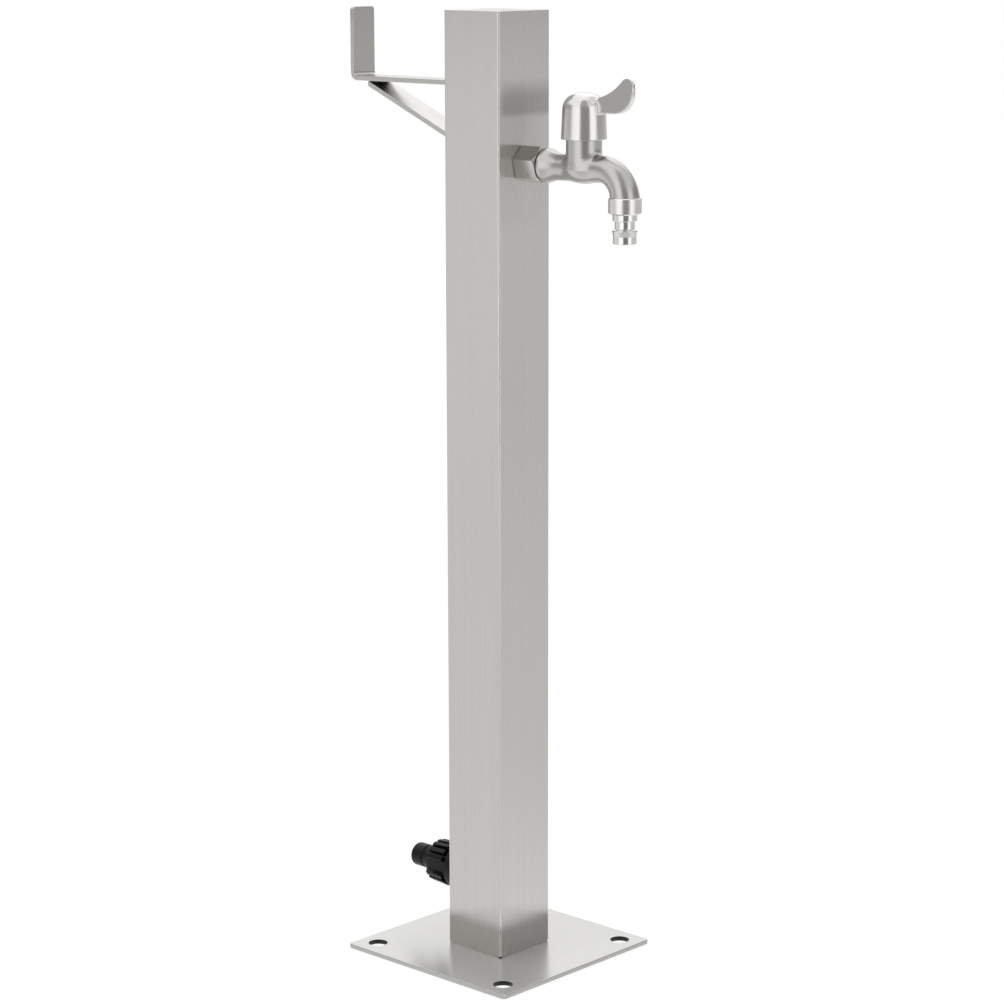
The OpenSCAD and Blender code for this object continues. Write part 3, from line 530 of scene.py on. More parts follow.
# One quarter of the plate is a fan of rays from its anchor hole: ray angle a reaches the hole's rim
# at holeR and the quarter's outline at the nearest of its four sides or its corner arc
def makeBasePlate():
    half, top, edge, rim = plate["half"], plate["top"], plate["edgeR"], plate["rimR"]
    at, holeR, corner = plate["holeAt"], plate["holeR"], plate["cornerR"]
    flat, bend, knee = half - edge, corner - edge, half - corner
    hold = 0.3
    curve = np.linspace(0, math.pi / 2, 9)
    arc = np.stack((knee + bend * np.cos(curve), knee + bend * np.sin(curve)), axis=1)
    marks = np.array([[flat, 0], [0, 0], [0, flat], [knee - hold, flat], [flat, knee - hold]])
    known = np.concatenate((marks, arc)) - at
    even = np.linspace(0, 2 * math.pi, 97)[:-1]
    aimed = np.arctan2(known[:, 1], known[:, 0]) % (2 * math.pi)
    angle = np.unique(np.round(np.concatenate((even, aimed)), 7))
    c, s = np.cos(angle), np.sin(angle)
    tiny = 1e-12
    toX = np.where(c > 0, (flat - at) / np.maximum(c, tiny), -at / np.minimum(c, -tiny))
    toY = np.where(s > 0, (flat - at) / np.maximum(s, tiny), -at / np.minimum(s, -tiny))
    reach = np.minimum(toX, toY)
    x, y = at + reach * c, at + reach * s
    offCorner = at - knee
    dot = offCorner * (c + s)
    gap = 2 * offCorner ** 2 - bend ** 2
    toArc = -dot + np.sqrt(np.maximum(dot ** 2 - gap, 0))
    inCorner = (x > knee + 1e-6) & (y > knee + 1e-6)
    reach = np.where(inCorner, toArc, reach)
    x, y = at + reach * c, at + reach * s
    outline = np.stack((x, y), axis=1)
    spoke = np.stack((c, s), axis=1)
    share = np.array([0, 0.015, 0.06, 0.2, 0.45, 0.75, 0.985, 1.0])[:, None, None]
    ring = at + (holeR + rim) * spoke
    sheet = ring + share * (outline - ring)
    rise = np.ones(sheet.shape[:2])
    topSheet = np.dstack((sheet, rise * top))
    lowSheet = np.dstack((sheet, rise * 0))
    turn = np.linspace(0, math.pi / 2, 6)
    wallR = np.concatenate((holeR + rim - rim * np.sin(turn), holeR + rim - rim * np.cos(turn)))
    wallZ = np.concatenate((top - rim + rim * np.cos(turn), rim - rim * np.sin(turn)))
    wall = np.dstack((at + wallR[:, None, None] * spoke, wallZ[:, None] * np.ones(len(angle))))
    near = 1e-3
    onX, onY = x > flat - near, y > flat - near
    away = np.stack((np.where(onX, 1.0, 0.0), np.where(onY, 1.0, 0.0)), axis=1)
    away = np.where(inCorner[:, None], (outline - knee) / bend, away)
    order = np.where(onX | onY | inCorner)[0]
    order = order[np.argsort(np.arctan2(y[order], x[order]))]
    push = np.concatenate((edge * np.sin(turn), edge * np.cos(turn)))
    level = np.concatenate((top - edge + edge * np.cos(turn), edge - edge * np.sin(turn)))
    band = outline[order] + push[:, None, None] * away[order]
    band = np.dstack((band, level[:, None] * np.ones(len(order))))
    shells = []
    for sx in (1, -1):
        for sy in (1, -1):
            sign = np.array([sx, sy, 1])
            shells.append(gridShell(topSheet * sign, loopV=True))
            shells.append(gridShell(lowSheet * sign, loopV=True))
            shells.append(gridShell(wall * sign, loopV=True))
            shells.append(gridShell(band * sign))
    return makeMesh("steel_base_plate", shells)


# Darkens the cut walls of the holes: mask by the distance to the nearest hole's axis
def scorchHoles(material):
    tree, shader = insideOf(material)
    off = [mathOf(tree, "SUBTRACT", one, plate["holeAt"] * mm) for one in absXY(tree)]
    square = [timesOf(tree, one, one) for one in off]
    far = mathOf(tree, "SQRT", mathOf(tree, "ADD", *square))
    places = [plate["holeR"] + out for out in plate["scorchOut"]]
    layOver(tree, shader, between(tree, far, places, 1, 0), plate["scorch"])


# Darkens the cut outer edge, partly for its duller cut finish and partly as painted shade for the shadowed floor
# that the edge reflects: mask by how near the larger of |x| and |y| comes to the rim
def cutRimAndShade(material):
    tree, shader = insideOf(material)
    far = mathOf(tree, "MAXIMUM", *absXY(tree))
    places = [plate["half"] - inwards for inwards in plate["rimShadeIn"]]
    layOver(tree, shader, between(tree, far, places), plate["rimShade"])


scorchHoles(looks["plate_steel"])
cutRimAndShade(looks["plate_steel"])
finishPiece(makeBasePlate(), "standpipe", "plate_steel", ["base_plate"])


# Column

# Heights of the tap's and the inlet's axes. The finishes' places are millimetres from the origin
tapZ = 677.0
inletZ = jointAt("inlet_collar_turn")[2]
column = dict(half=nodeBox("column_tube")[1][0], wall=1.5, foot=plate["top"],
              top=nodeBox("column_tube")[1][2], edgeR=1.6, footR=0.35, lipR=0.5, insideR=0.15,
              holeR=10.1, holeSpan=(15.0, 45.0), drainR=2.3, drainSunk=1.0, drainDeep=8.0, capT=2.0,
              # the long edges' colour tint is a painted highlight
              capEdgeR=0.25, capFootR=0.1, capCornerR=0.12, edgeHighlightTint=(1.45, 1.45, 1.45),
              edgeHighlightAt=(29.4, 29.8), brightGloss=0.3, brightGlossAt=(29.3, 29.9),
              # the band's tint and places are a painted reflection
              reflectionBandTint=(0.7, 0.7, 0.69), reflectionBandLowZ=(714.0, 719.0), reflectionBandHighZ=(732.0, 746.0),
              # the foot tint that follows is painted shade
              reflectionBandX=(29.5, 30.2), reflectionBandY=(-30.2, -24.0), footShadeTint=(0.85, 0.85, 0.845),
              footShadeZ=(26.0, 35.0))


# Square outline with round corners at distance inset from the outside, as an array of points
def squareOutline(half, radius, inset, steps=8, hold=0.4, leastR=0.12):
    r = max(radius - inset, leastR)
    w = half - inset
    a = np.linspace(0, math.pi / 2, steps + 1)
    x = np.concatenate(([w], w - r + r * np.cos(a), [w - r - hold]))
    y = np.concatenate(([w - r - hold], w - r + r * np.sin(a), [w]))
    quarter = np.stack((x, y), axis=1)
    turn = np.array([[0, 1], [-1, 0]])
    return np.concatenate([quarter @ np.linalg.matrix_power(turn, k) for k in range(4)])


# An outline of (x, y) lifted to a height
def atHeight(outline, height):
    return np.column_stack((outline, np.full(len(outline), height)))


# The tube is its wall's closed profile of (inset, height) carried round the square outline
def makeColumn():
    half, wall, foot, top = (column[key] for key in ("half", "wall", "foot", "top"))
    profile = rounded([(0, foot, column["footR"]), (0, top, column["lipR"]), (wall, top, column["insideR"]),
                       (wall, foot, 0)], steps=5)
    tube = [atHeight(squareOutline(half, column["edgeR"], inset), height) for inset, height in profile]
    piece = makeMesh("steel_column", [gridShell(np.stack(tube), loopU=True, loopV=True)])
    near, far = column["holeSpan"]
    carve(piece, [plugShell(column["holeR"], near, far, (0, 0, tapZ), "x", count=96),
                  plugShell(column["holeR"], -near, -far, (0, 0, inletZ), "x", count=96)])
    outside, inside = half + 1, half - column["drainDeep"]
    level = np.array((0, 0, foot - column["drainSunk"]))
    edges = [np.array((sx, sy, 0)) for sx in (1, -1) for sy in (1, -1)]
    carve(piece, [rodShell(edge * outside + level, edge * inside + level, column["drainR"])
                  for edge in edges])
    return piece


# The cap is a square slab whose rings shrink to the middle of its top and bottom
def makeCap():
    half, top = column["half"] - column["wall"], column["top"]
    low = top - column["capT"]
    profile = rounded([(half, top, 0), (0, top, column["capEdgeR"]), (0, low, column["capFootR"]),
                       (half, low, 0)], closed=False, steps=4)
    outline = squareOutline(half, column["capCornerR"], 0, steps=2)
    rings = np.stack([atHeight(outline * (1 - inset / half), height) for inset, height in profile])
    return makeMesh("steel_cap", [gridShell(rings, loopV=True)])


# The long edges are worn smooth, which lowers their roughness, and carry a painted highlight that lightens their
# colour: mask by the smaller of |x| and |y|
def edgeGlossAndHighlight(material):
    tree, shader = insideOf(material)
    edge = mathOf(tree, "MINIMUM", *absXY(tree))
    rough = shader.inputs["Roughness"]
    smoother = between(tree, edge, column["brightGlossAt"], 1, column["brightGloss"])
    tree.links.new(timesOf(tree, rough.links[0].from_socket, smoother), rough)
    layOver(tree, shader, between(tree, edge, column["edgeHighlightAt"]), column["edgeHighlightTint"], "MULTIPLY")


# A painted reflection: a darker band across the tap's face, with a soft upper and a crisper lower edge
def paintedReflectionBand(material):
    tree, shader = insideOf(material)
    x, y, z = axesOf(tree, "XYZ")
    mask = timesOf(tree, between(tree, z, column["reflectionBandLowZ"]), between(tree, z, column["reflectionBandHighZ"], 1, 0))
    mask = timesOf(tree, mask, between(tree, x, column["reflectionBandX"]))
    mask = timesOf(tree, mask, between(tree, y, column["reflectionBandY"]))
    layOver(tree, shader, mask, column["reflectionBandTint"], "MULTIPLY")


# Painted shade: the foot is tinted a little darker, fading out between the two heights
def paintedFootShade(material):
    tree, shader = insideOf(material)
    mask = between(tree, axesOf(tree, "Z")[0], column["footShadeZ"], 1, 0)
    layOver(tree, shader, mask, column["footShadeTint"], "MULTIPLY")


edgeGlossAndHighlight(looks["column_steel"])
paintedReflectionBand(looks["column_steel"])
paintedFootShade(looks["column_steel"])
finishPiece(makeColumn(), "standpipe", "column_steel", ["column_tube"])
finishPiece(makeCap(), "standpipe", "column_steel", ["column_cap"])


# Hose bracket

barT = 4.0
armLow, armHigh = nodeBox("bracket_arm")
bracket = dict(wide=25.0, thick=barT, face=-column["half"], armTop=armLow[2] + barT, tabOut=armLow[0],
               tabTop=armHigh[2], bendR=7.0, cornerR=3.0, edgeR=0.45,
               strutFar=nodeBox("bracket_strut")[0][0], strutDrop=45.3,
               strutEnd=[(0.8, 0.0), (0.25, 0.05), (0.08, 0.15), (0.0, 0.3)], hold=0.3)


# Ease of a rounded end: how far the section has drawn in at distance d from the end, for radius r
def drawIn(d, r):
    return r - np.sqrt(np.maximum(r ** 2 - np.maximum(r - d, 0) ** 2, 0))


# Rows that such an end of radius r needs, as distances from the end
def endRows(r, count):
    return r * (1 - np.sin(np.linspace(0, math.pi / 2, count)))


# The arm's centre line runs out, turns up by a quarter circle and climbs to the tab's top
def makeArm():
    t, r, edge, corner = (bracket[key] for key in ("thick", "bendR", "edgeR", "cornerR"))
    face, hold = bracket["face"], bracket["hold"]
    mid = r - t / 2
    bendX, bendZ = bracket["tabOut"] + r, bracket["armTop"] - t + r
    straight = face - bendX
    bend = mid * math.pi / 2
    total = straight + bend + bracket["tabTop"] - bendZ
    tail = total - np.concatenate((endRows(corner, 10), endRows(edge, 5)))
    s = np.concatenate((np.linspace(0, straight, 7), [straight - hold], straight + np.linspace(0, bend, 15),
                        [straight + bend + hold], np.linspace(straight + bend, total - corner, 5), tail))
    s = np.unique(np.round(s, 6))
    angle = np.clip((s - straight) / mid, 0, math.pi / 2)
    climb = np.maximum(s - straight - bend, 0)
    x = face - np.minimum(s, straight) - mid * np.sin(angle)
    z = bendZ - mid * np.cos(angle) + climb
    path = np.stack((x, 0 * s, z), axis=1)
    over = np.stack((np.sin(angle), 0 * s, np.cos(angle)), axis=1)
    wide = bracket["wide"] / 2 - drawIn(total - s, corner)
    thick = t / 2 - drawIn(total - s, edge)
    return makeMesh("steel_bracket_arm", [barShell(path, (0.0, 1.0, 0.0), over, wide, thick, edge)])


# The strut's section stays upright while it is carried down the slant, so both ends are cut plumb
def makeStrut():
    face, far, drop = bracket["face"], bracket["strutFar"], bracket["strutDrop"]
    run = face - far
    deep = bracket["thick"] / math.cos(math.atan(drop / run))
    out, drawn = np.array(bracket["strutEnd"]).T
    x = np.concatenate(([face, face - bracket["hold"]], far + out))
    z = bracket["armTop"] - bracket["thick"] - drop * (x - far) / run - deep / 2
    path = np.stack((x, 0 * x, z), axis=1)
    shrink = np.concatenate(([0, 0], drawn))
    wide, thick = bracket["wide"] / 2 - shrink, deep / 2 - shrink
    return makeMesh("steel_bracket_strut", [barShell(path, (0.0, 1.0, 0.0), (0.0, 0.0, 1.0), wide, thick,
                                                     bracket["edgeR"])])


finishPiece(makeArm(), "standpipe", "bracket_steel", ["bracket_arm"])
finishPiece(makeStrut(), "standpipe", "bracket_steel", ["bracket_strut"])


# Tap socket

socket = dict(face=column["half"], front=nodeBox("tap_socket")[1][0], width=27.0, turn=14.0,
              cornerR=0.5, frontR=12.9, tailR=10.55, barrelR=10.0,
              barrelEnd=nodeBox("tap_socket")[0][0], boreR=6.0, step=37.6, axisZ=tapZ, footGap=0.9,
              footIn=1.0, edgeCut=0.2, coneEase=(0.12, 0.18, 0.5),
              # the upward faces' tint is painted shade
              topShade=(0.58, 0.57, 0.56), topShadeUp=(0.55, 0.65))


# A hexagon row by row: the 45 degree front cone cuts each ray of the hexagon at front - (ray - frontR)
def makeSocket():
    s = socket
    angle, ray = hexOutline(s["width"], s["cornerR"], s["turn"])
    cut = s["front"] - (ray - s["frontR"])
    foot = s["face"] + s["footGap"]
    inward, back, hold = s["coneEase"]
    rows = [(s["front"], s["tailR"]), (s["front"], s["frontR"]), (cut + inward, ray - inward),
            (cut - back, ray), (cut - hold, ray), (foot + s["edgeCut"], ray), (foot, ray - s["edgeCut"]),
            (foot, ray - s["footIn"]), (s["face"], ray - s["footIn"]), (s["face"], s["barrelR"]),
            (s["barrelEnd"], s["barrelR"]), (s["barrelEnd"], s["boreR"]), (s["step"], s["boreR"]),
            (s["step"], s["tailR"])]
    along, radius = (np.stack([row[k] + 0 * angle for row in rows]) for k in (0, 1))
    return makeMesh("steel_tap_socket", [polarShell(along, radius, angle, (0, 0, s["axisZ"]), "x", True)])


# Painted shade on the faces that look up: mask by the height of the object's own normal
def paintedTopShade(material):
    tree, shader = insideOf(material)
    mask = spread(tree, axesOf(tree, "Z", "Normal")[0], 0, 1, *socket["topShadeUp"])
    layOver(tree, shader, mask, socket["topShade"], "MULTIPLY")


paintedTopShade(looks["socket_steel"])
finishPiece(makeSocket(), "standpipe", "socket_steel", ["tap_socket"])


# Tap body

tapLow, tapHigh = nodeBox("tap_body")
riserX = jointAt("handle_turn")[0]
outletX = jointAt("nozzle_collar_turn")[0]
flangeX = nodeBox("tap_gasket")[1][0]
tap = dict(axisZ=tapZ, riserX=riserX, riserR=14.5, riserTop=tapHigh[2], cavityR=12.1,
           cavityZ=(tapZ - 1, tapZ + 30), flangeX=flangeX, flangeLand=0.6, flangeRun=18.0,
           flangeEase=0.2, flangeSink=4.4, flangeR=14.25, neckR=10.8, neckDrop=0.5,
           neckStart=flangeX + 4, neckEnd=flangeX + 12, bellyR=11.4, spoutR=11.0, lipGrow=1.1,
           bendR=24.0, outletX=outletX, waterR=8.0, waterStart=riserX + 7.5, threadR=11.6,
           threadLow=tapLow[2], threadLen=6.5, threadShankR=10.6, tailR=10.45, tailEnd=tapLow[0],
           tailBoreR=6.5, tailIn=1.0, blend=4.8, rootBlend=4.0, trim=2.0, backCutR=20.0, backCutX=50.0,
           skinStep=0.62)


# Eased step: 3 t^2 - 2 t^3 of t held between 0 and 1
def eased(t):
    t = np.clip(t, 0, 1)
    return t * t * (3 - 2 * t)


# Distance to the spout's centre line (along X, then a quarter circle, then down) less its radius;
# the line starts neckDrop low and comes up to the axis at the riser, and the radius goes from
# neckR to bellyR to spoutR and grows by lipGrow towards the outlet
def spoutField(p):
    x, y, z = p[:, 0], p[:, 1], p[:, 2] - tap["axisZ"]
    bendX, bendZ = tap["outletX"] - tap["bendR"], -tap["bendR"]
    t = eased((x - tap["neckEnd"]) / (tap["riserX"] - tap["neckEnd"]))
    back = eased((x - tap["riserX"]) / (bendX - tap["riserX"]))
    low = tap["neckDrop"] * (1 - t)
    line = np.sqrt(y ** 2 + (z + low) ** 2 + np.maximum(tap["neckStart"] - x, 0) ** 2)
    curve = np.hypot(np.hypot(x - bendX, z - bendZ) - tap["bendR"], y)
    drop = np.hypot(x - tap["outletX"], y)
    far = np.where(x < bendX, line, np.where(z > bendZ, curve, drop))
    swing = np.clip(np.arctan2(x - bendX, z - bendZ) / (math.pi / 2), 0, 1)
    swing = np.where(x > bendX, np.where(z > bendZ, swing, 1.0), 0.0)
    radius = tap["neckR"] + (tap["bellyR"] - tap["neckR"]) * t - (tap["bellyR"] - tap["spoutR"]) * back
    return far - radius - tap["lipGrow"] * swing ** 2


# Riser: a cylinder that ends below in half an ellipsoid as deep as the belly
def riserField(p):
    ring = np.hypot(p[:, 0] - tap["riserX"], p[:, 1])
    z = p[:, 2] - tap["axisZ"]
    dome = np.hypot(ring / tap["riserR"], np.minimum(z, 0) / tap["bellyR"])
    return (dome - 1) * np.where(z < 0, tap["bellyR"], tap["riserR"])


# Flange: a bell about X whose radius falls from flangeR to flangeSink inside the neck along a
# straight cone that eases in and out over the share k of its run, so its slope is full slope times
# (min(t, k) - max(t - 1 + k, 0)) / k
def flangeField(p):
    ring = np.hypot(p[:, 1], p[:, 2] - tap["axisZ"])
    run, k = tap["flangeRun"], tap["flangeEase"]
    past = p[:, 0] - tap["flangeX"] - tap["flangeLand"]
    t = np.clip(past / run, 0, 1)
    lead, tail = np.minimum(t, k), np.maximum(t - 1 + k, 0)
    fall = (tap["flangeR"] - tap["neckR"] + tap["flangeSink"]) / (1 - k)
    drop = fall * (lead ** 2 / 2 / k + np.maximum(t - k, 0) - tail ** 2 / 2 / k)
    bell = (ring - tap["flangeR"] + drop) / np.hypot(1, fall / run * (lead - tail) / k)
    return np.maximum(bell, past - run)


# The three melted together, and trimmed at the riser's top, behind the flange and above the thread
def tapField(p):
    body = melt(spoutField(p), riserField(p), tap["blend"])
    body = melt(body, flangeField(p), tap["rootBlend"])
    body = np.maximum(body, p[:, 2] - tap["riserTop"])
    body = np.maximum(body, tap["flangeX"] - tap["trim"] - p[:, 0])
    return np.maximum(body, tap["threadLow"] + tap["trim"] - p[:, 2])


# The cast skin, grown in a box that holds all of it, with its water ways cut out and the turned
# thread and tail added
def makeTapBody():
    z, x, low, outX = tap["axisZ"], tap["riserX"], tap["threadLow"], tap["outletX"]
    skin = castShell(tapField, (tap["flangeX"] - 4, -16, low - 10), (outX + 14, 16, tap["riserTop"] + 2),
                     tap["skinStep"])
    piece = makeMesh("steel_tap_body", [skin])
    bend = arcLine(outX - tap["bendR"], z - tap["bendR"], tap["bendR"], 90, 0, 25)
    water = np.concatenate(([[tap["waterStart"], z]], bend, [[outX, low - 5]]))
    carve(piece, [plugShell(tap["backCutR"], tap["backCutX"], tap["flangeX"], (0, 0, z), "x"),
                  pipeShell(water, tap["waterR"]),
                  plugShell(tap["cavityR"], *tap["cavityZ"], (x, 0, 0), "z")])
    r, top, bore = tap["threadR"], low + tap["threadLen"], tap["waterR"]
    thread = rounded([(bore, low, 0), (r, low, 0.5), (r, top, 0.4), (tap["threadShankR"], top, 0),
                      (bore, top, 0)], steps=4)
    r, end, front, bore = tap["tailR"], tap["tailEnd"], tap["flangeX"] + tap["tailIn"], tap["tailBoreR"]
    tail = rounded([(bore, end, 0.3), (r, end, 0.8), (r, front, 0), (bore, front, 0)], steps=4)
    turned = makeMesh("turned", [turnedShell(thread, (outX, 0, 0), "z"), turnedShell(tail, (0, 0, z), "x")])
    both = bmesh.new()
    both.from_mesh(piece.data)
    both.from_mesh(turned.data)
    both.to_mesh(piece.data)
    both.free()
    bpy.data.objects.remove(turned)
    return piece


finishPiece(makeTapBody(), "standpipe", "tap_steel", ["tap_body"], sharpAt=40)


# Handle

handleLow, handleHigh = nodeBox("handle")
domeTop = handleLow[2] + 37.4
handle = dict(axisX=riserX, rimZ=handleLow[2], rimR=18.6, rimEdge=0.35, sideR=17.5,
              shoulderZ=domeTop - 14.0, shoulderR=13.5, topZ=domeTop, crown=0.5, cavityR=16.3,
              cavityZ=tapZ + 36.9, cavityEdge=0.3, driveR=4.1, driveZ=tapZ + 48.2, screwZ=tapZ + 42.4,
              screwR=2.1, screwOut=25.0, tipT=1.7, taper=0.085, bladeEdge=0.6,
              bladeLow=handleLow[2] + 21.3, bladeTip=handleHigh[0], bladeRise=28.3, bellyR=18.4,
              tipR=6.8, hollowR=45.0, hollowEnd=-75.0, lean=138.0, rootZ=domeTop - 8, rootBlend=1.6,
              trim=3.0, skinStep=0.45)


# The blade's outline: round belly, round tip and a hollow upper edge, rooted inside the dome
def bladeOutline():
    low, tip = handle["bladeLow"], handle["bladeTip"]
    belly, tipR, hollowR, lean = (handle[key] for key in ("bellyR", "tipR", "hollowR", "lean"))
    rootX = handle["axisX"] + handle["rimR"] / 2
    tipX, tipZ = tip - tipR, low + handle["bladeRise"] - tipR
    hollowX = tipX + (tipR + hollowR) * math.cos(math.radians(lean))
    hollowZ = tipZ + (tipR + hollowR) * math.sin(math.radians(lean))
    steps = 22
    return np.concatenate(([(rootX, low)],
                           arcLine(tip - belly, low + belly, belly, -90, 0, steps),
                           arcLine(tipX, tipZ, tipR, 0, lean, steps),
                           # starts a degree past the point where the tip's arc hands over
                           arcLine(hollowX, hollowZ, hollowR, lean - 181, handle["hollowEnd"], steps),
                           [(rootX, handle["rootZ"])]))


bladeLine = bladeOutline()


# Dome: distance to its turned profile, which is a slightly drafted side and a round shoulder
def domeField(p):
    ring = np.hypot(p[:, 0] - handle["axisX"], p[:, 1])
    above = p[:, 2] - handle["shoulderZ"]
    shoulder = handle["sideR"] - handle["shoulderR"]
    slope = (handle["rimR"] - handle["sideR"]) / (handle["shoulderZ"] - handle["rimZ"])
    side = (ring - handle["sideR"] + above * slope) / math.hypot(1, slope)
    turn = np.hypot(np.maximum(ring - shoulder, 0), np.maximum(above, 0)) - handle["shoulderR"]
    lid = p[:, 2] - handle["topZ"] + handle["crown"] * np.minimum(ring / shoulder, 1) ** 2
    return np.where(above > 0, np.where(ring > shoulder, turn, lid), side)


# Blade: its outline, with a half thickness that grows by taper per millimetre below the tip, and
# edges of radius bladeEdge. It is melted into the dome, and both are trimmed below the rim
def handleField(p):
    edge = handle["bladeEdge"]
    flat = outlineDistance(p[:, 0], p[:, 2], bladeLine) + edge
    below = np.maximum(handle["bladeLow"] + handle["bladeRise"] - p[:, 2], 0)
    thick = np.abs(p[:, 1]) - (handle["tipT"] / 2 + handle["taper"] * below) + edge
    inner = np.minimum(np.maximum(flat, thick), 0)
    outer = np.hypot(np.maximum(flat, 0), np.maximum(thick, 0))
    both = melt(domeField(p), inner + outer - edge, handle["rootBlend"])
    return np.maximum(both, handle["rimZ"] - handle["trim"] - p[:, 2])


# The cast skin with the dome's cavity, the spindle's seat and the grub screw's hole cut out
def makeHandle():
    skin = castShell(handleField, handleLow - (2, 2, 4), handleHigh + 2, handle["skinStep"])
    piece = makeMesh("steel_handle", [skin])
    rim, r, edge, x = (handle[key] for key in ("rimZ", "rimR", "rimEdge", "axisX"))
    inR, top, lip = handle["cavityR"], handle["cavityZ"], handle["cavityEdge"]
    past = 30  # well outside the dome
    cavity = np.array([(0, rim - 10), (past, rim - 10), (past, rim + past - r + edge), (r - edge, rim),
                       (inR + lip, rim), (inR, rim + lip), (inR, top), (0, top)])
    carve(piece, [turnedShell(cavity, (x, 0, 0), "z", loop=False),
                  plugShell(handle["driveR"], top - 1, handle["driveZ"], (x, 0, 0), "z", count=64),
                  plugShell(handle["screwR"], -handle["screwOut"], 0.0, (x, 0, handle["screwZ"]), "x",
                            count=48)])
    return piece


finishPiece(makeHandle(), "tap_handle", "handle_steel", ["handle"], sharpAt=40)


# Outlet

collarLow, collarHigh = nodeBox("outlet_collar")
nozzleLow, nozzleHigh = nodeBox("hose_nozzle")
outlet = dict(axisX=outletX, collarLow=collarLow[2], collarTop=collarHigh[2], collarR=13.4, footR=1.2,
              topCut=0.8, edgeR=0.2, boreR=11.65, lipR=10.5, lipZ=nozzleHigh[2] - 2.0, knurlCount=72,
              knurlDepth=0.06, knurlWide=0.24, knurlFrom=0.4, knurlTo=1.4, knurlFade=0.5, knurlRows=61,
              knurlColumns=840, ringR=9.9, ringLow=collarLow[2] - 5.2, neckR=8.1,
              neckLow=collarLow[2] - 12.4, noseR=10.2, noseEndR=9.45, noseLow=nozzleLow[2],
              straightTop=nozzleLow[2] + 6.0, flangeR=11.3, flangeT=1.7, washerZ=nozzleHigh[2],
              bore=6.0)


# Collar: turned profile whose outer wall is knurled: two families of shallow grooves cross at
# 45 degrees, each a cosine dip of knurlWide of its pitch, and the lands between stay round
def makeCollar():
    low, top, r, foot = (outlet[key] for key in ("collarLow", "collarTop", "collarR", "footR"))
    edge, cut, bore, lipR, lipZ = (outlet[key] for key in ("edgeR", "topCut", "boreR", "lipR", "lipZ"))
    profile = rounded([(lipR, low, edge), (r - foot, low, edge), (r, low + foot, edge), (r, top - cut, edge),
                       (r - cut, top, edge), (bore, top, 0.3), (bore, lipZ, 0), (lipR, lipZ, edge)], steps=3)
    outer = profile[:, 0] > r - 0.01
    onWall = outer & (profile[:, 1] > low + foot + edge / 2) & (profile[:, 1] < top - cut - edge / 2)
    first, last = np.where(onWall)[0][[0, -1]]
    wallZ = np.linspace(low + foot + edge, top - cut - edge, outlet["knurlRows"])
    wall = np.stack((np.full(len(wallZ), r), wallZ), axis=1)
    profile = np.concatenate((profile[:first], wall, profile[last + 1:]))
    angle = np.linspace(0, 2 * math.pi, outlet["knurlColumns"], endpoint=False)
    z = profile[:, 1:] * np.ones(len(angle))
    radius = profile[:, :1] * np.ones(len(angle))
    lay = outlet["knurlCount"] / 2 * angle
    pitch = outlet["knurlCount"] / 2 / r
    wide = outlet["knurlWide"] * math.pi / 2
    lean = [(lay + sign * pitch * (z - low) + math.pi / 2) % math.pi - math.pi / 2 for sign in (1, -1)]
    dips = [np.where(np.abs(one) < wide, 0.5 + 0.5 * np.cos(one * math.pi / wide), 0) for one in lean]
    fadeIn = np.clip((z - low - foot - outlet["knurlFrom"]) / outlet["knurlFade"], 0, 1)
    fadeOut = np.clip((top - outlet["knurlTo"] - z) / outlet["knurlFade"], 0, 1)
    groove = np.maximum(*dips) * outlet["knurlDepth"] * fadeIn * fadeOut
    radius = radius - np.where(profile[:, :1] > r - 0.01, groove, 0)
    shell = polarShell(z, radius, angle, (outlet["axisX"], 0, 0), "z", True)
    return makeMesh("steel_outlet_collar", [shell])


# Nozzle: flange inside the collar, ring, neck, tapered nose with a fine groove, straight end
def makeNozzle():
    o = outlet
    top, ring, neck, straight = (o[key] for key in ("washerZ", "ringLow", "neckLow", "straightTop"))
    step = top - o["flangeT"]
    end, groove = o["noseEndR"], o["noseEndR"] - 0.12
    rows = [(o["bore"], top, 0), (o["flangeR"], top, 0.2), (o["flangeR"], step, 0),  # flange
            (o["ringR"], step, 0), (o["ringR"], ring, 0.5),  # ring
            (o["neckR"], ring, 0.3), (o["neckR"], neck + 0.9, 0.5),  # neck
            (o["noseR"] - 0.2, neck, 0.3), (o["noseR"], neck - 0.6, 0.5),  # nose's lip
            (end + 0.08, straight + 0.3, 0.15), (groove, straight + 0.1, 0), (groove, straight - 0.25, 0),
            (end, straight - 0.4, 0.1), (end, o["noseLow"], 0.5), (o["bore"], o["noseLow"], 0.4)]
    return makeMesh("steel_hose_nozzle", [turnedShell(rounded(rows, steps=5), (o["axisX"], 0, 0), "z")])


finishPiece(makeCollar(), "nozzle_collar", "outlet_steel", ["outlet_collar"], sharpAt=50)
finishPiece(makeNozzle(), "standpipe", "outlet_steel", ["hose_nozzle"])


# Supply connector

gripLow, gripHigh = nodeBox("connector_collar")
bodyLow, bodyHigh = nodeBox("connector_body")
supply = dict(axisZ=inletZ, back=gripHigh[0], front=gripLow[0], neckLen=8.0, neckR=11.0, neckRise=1.3,
              coreR=14.5, panelAt=13.7, gripR=gripHigh[1], ringT=8.5, boreStart=gripHigh[0] - 3,
              ribRear=gripHigh[0] - 12.0, ribRise=1.1, ribW=4.0, ribStep=21.0, ribLow=12.5,
              ribFront=14.9, ribRamp=2.0, ribEdge=0.7, threadR=10.55, lipX=bodyHigh[0] - 3.3,
              shankR=8.55, shankGap=0.05, shoulderX=gripLow[0] - 0.3, shoulderEnd=gripLow[0] - 1.1,
              shoulderR=11.0, noseR=10.2, grooveR=9.2, noseX=gripLow[0] - 3.5, tipX=bodyLow[0],
              tipR=2.5, bore=5.0, boreCut=1.2, flangeX=bodyHigh[0], flangeEnd=bodyHigh[0] - 3.0,
              flangeR=10.3)


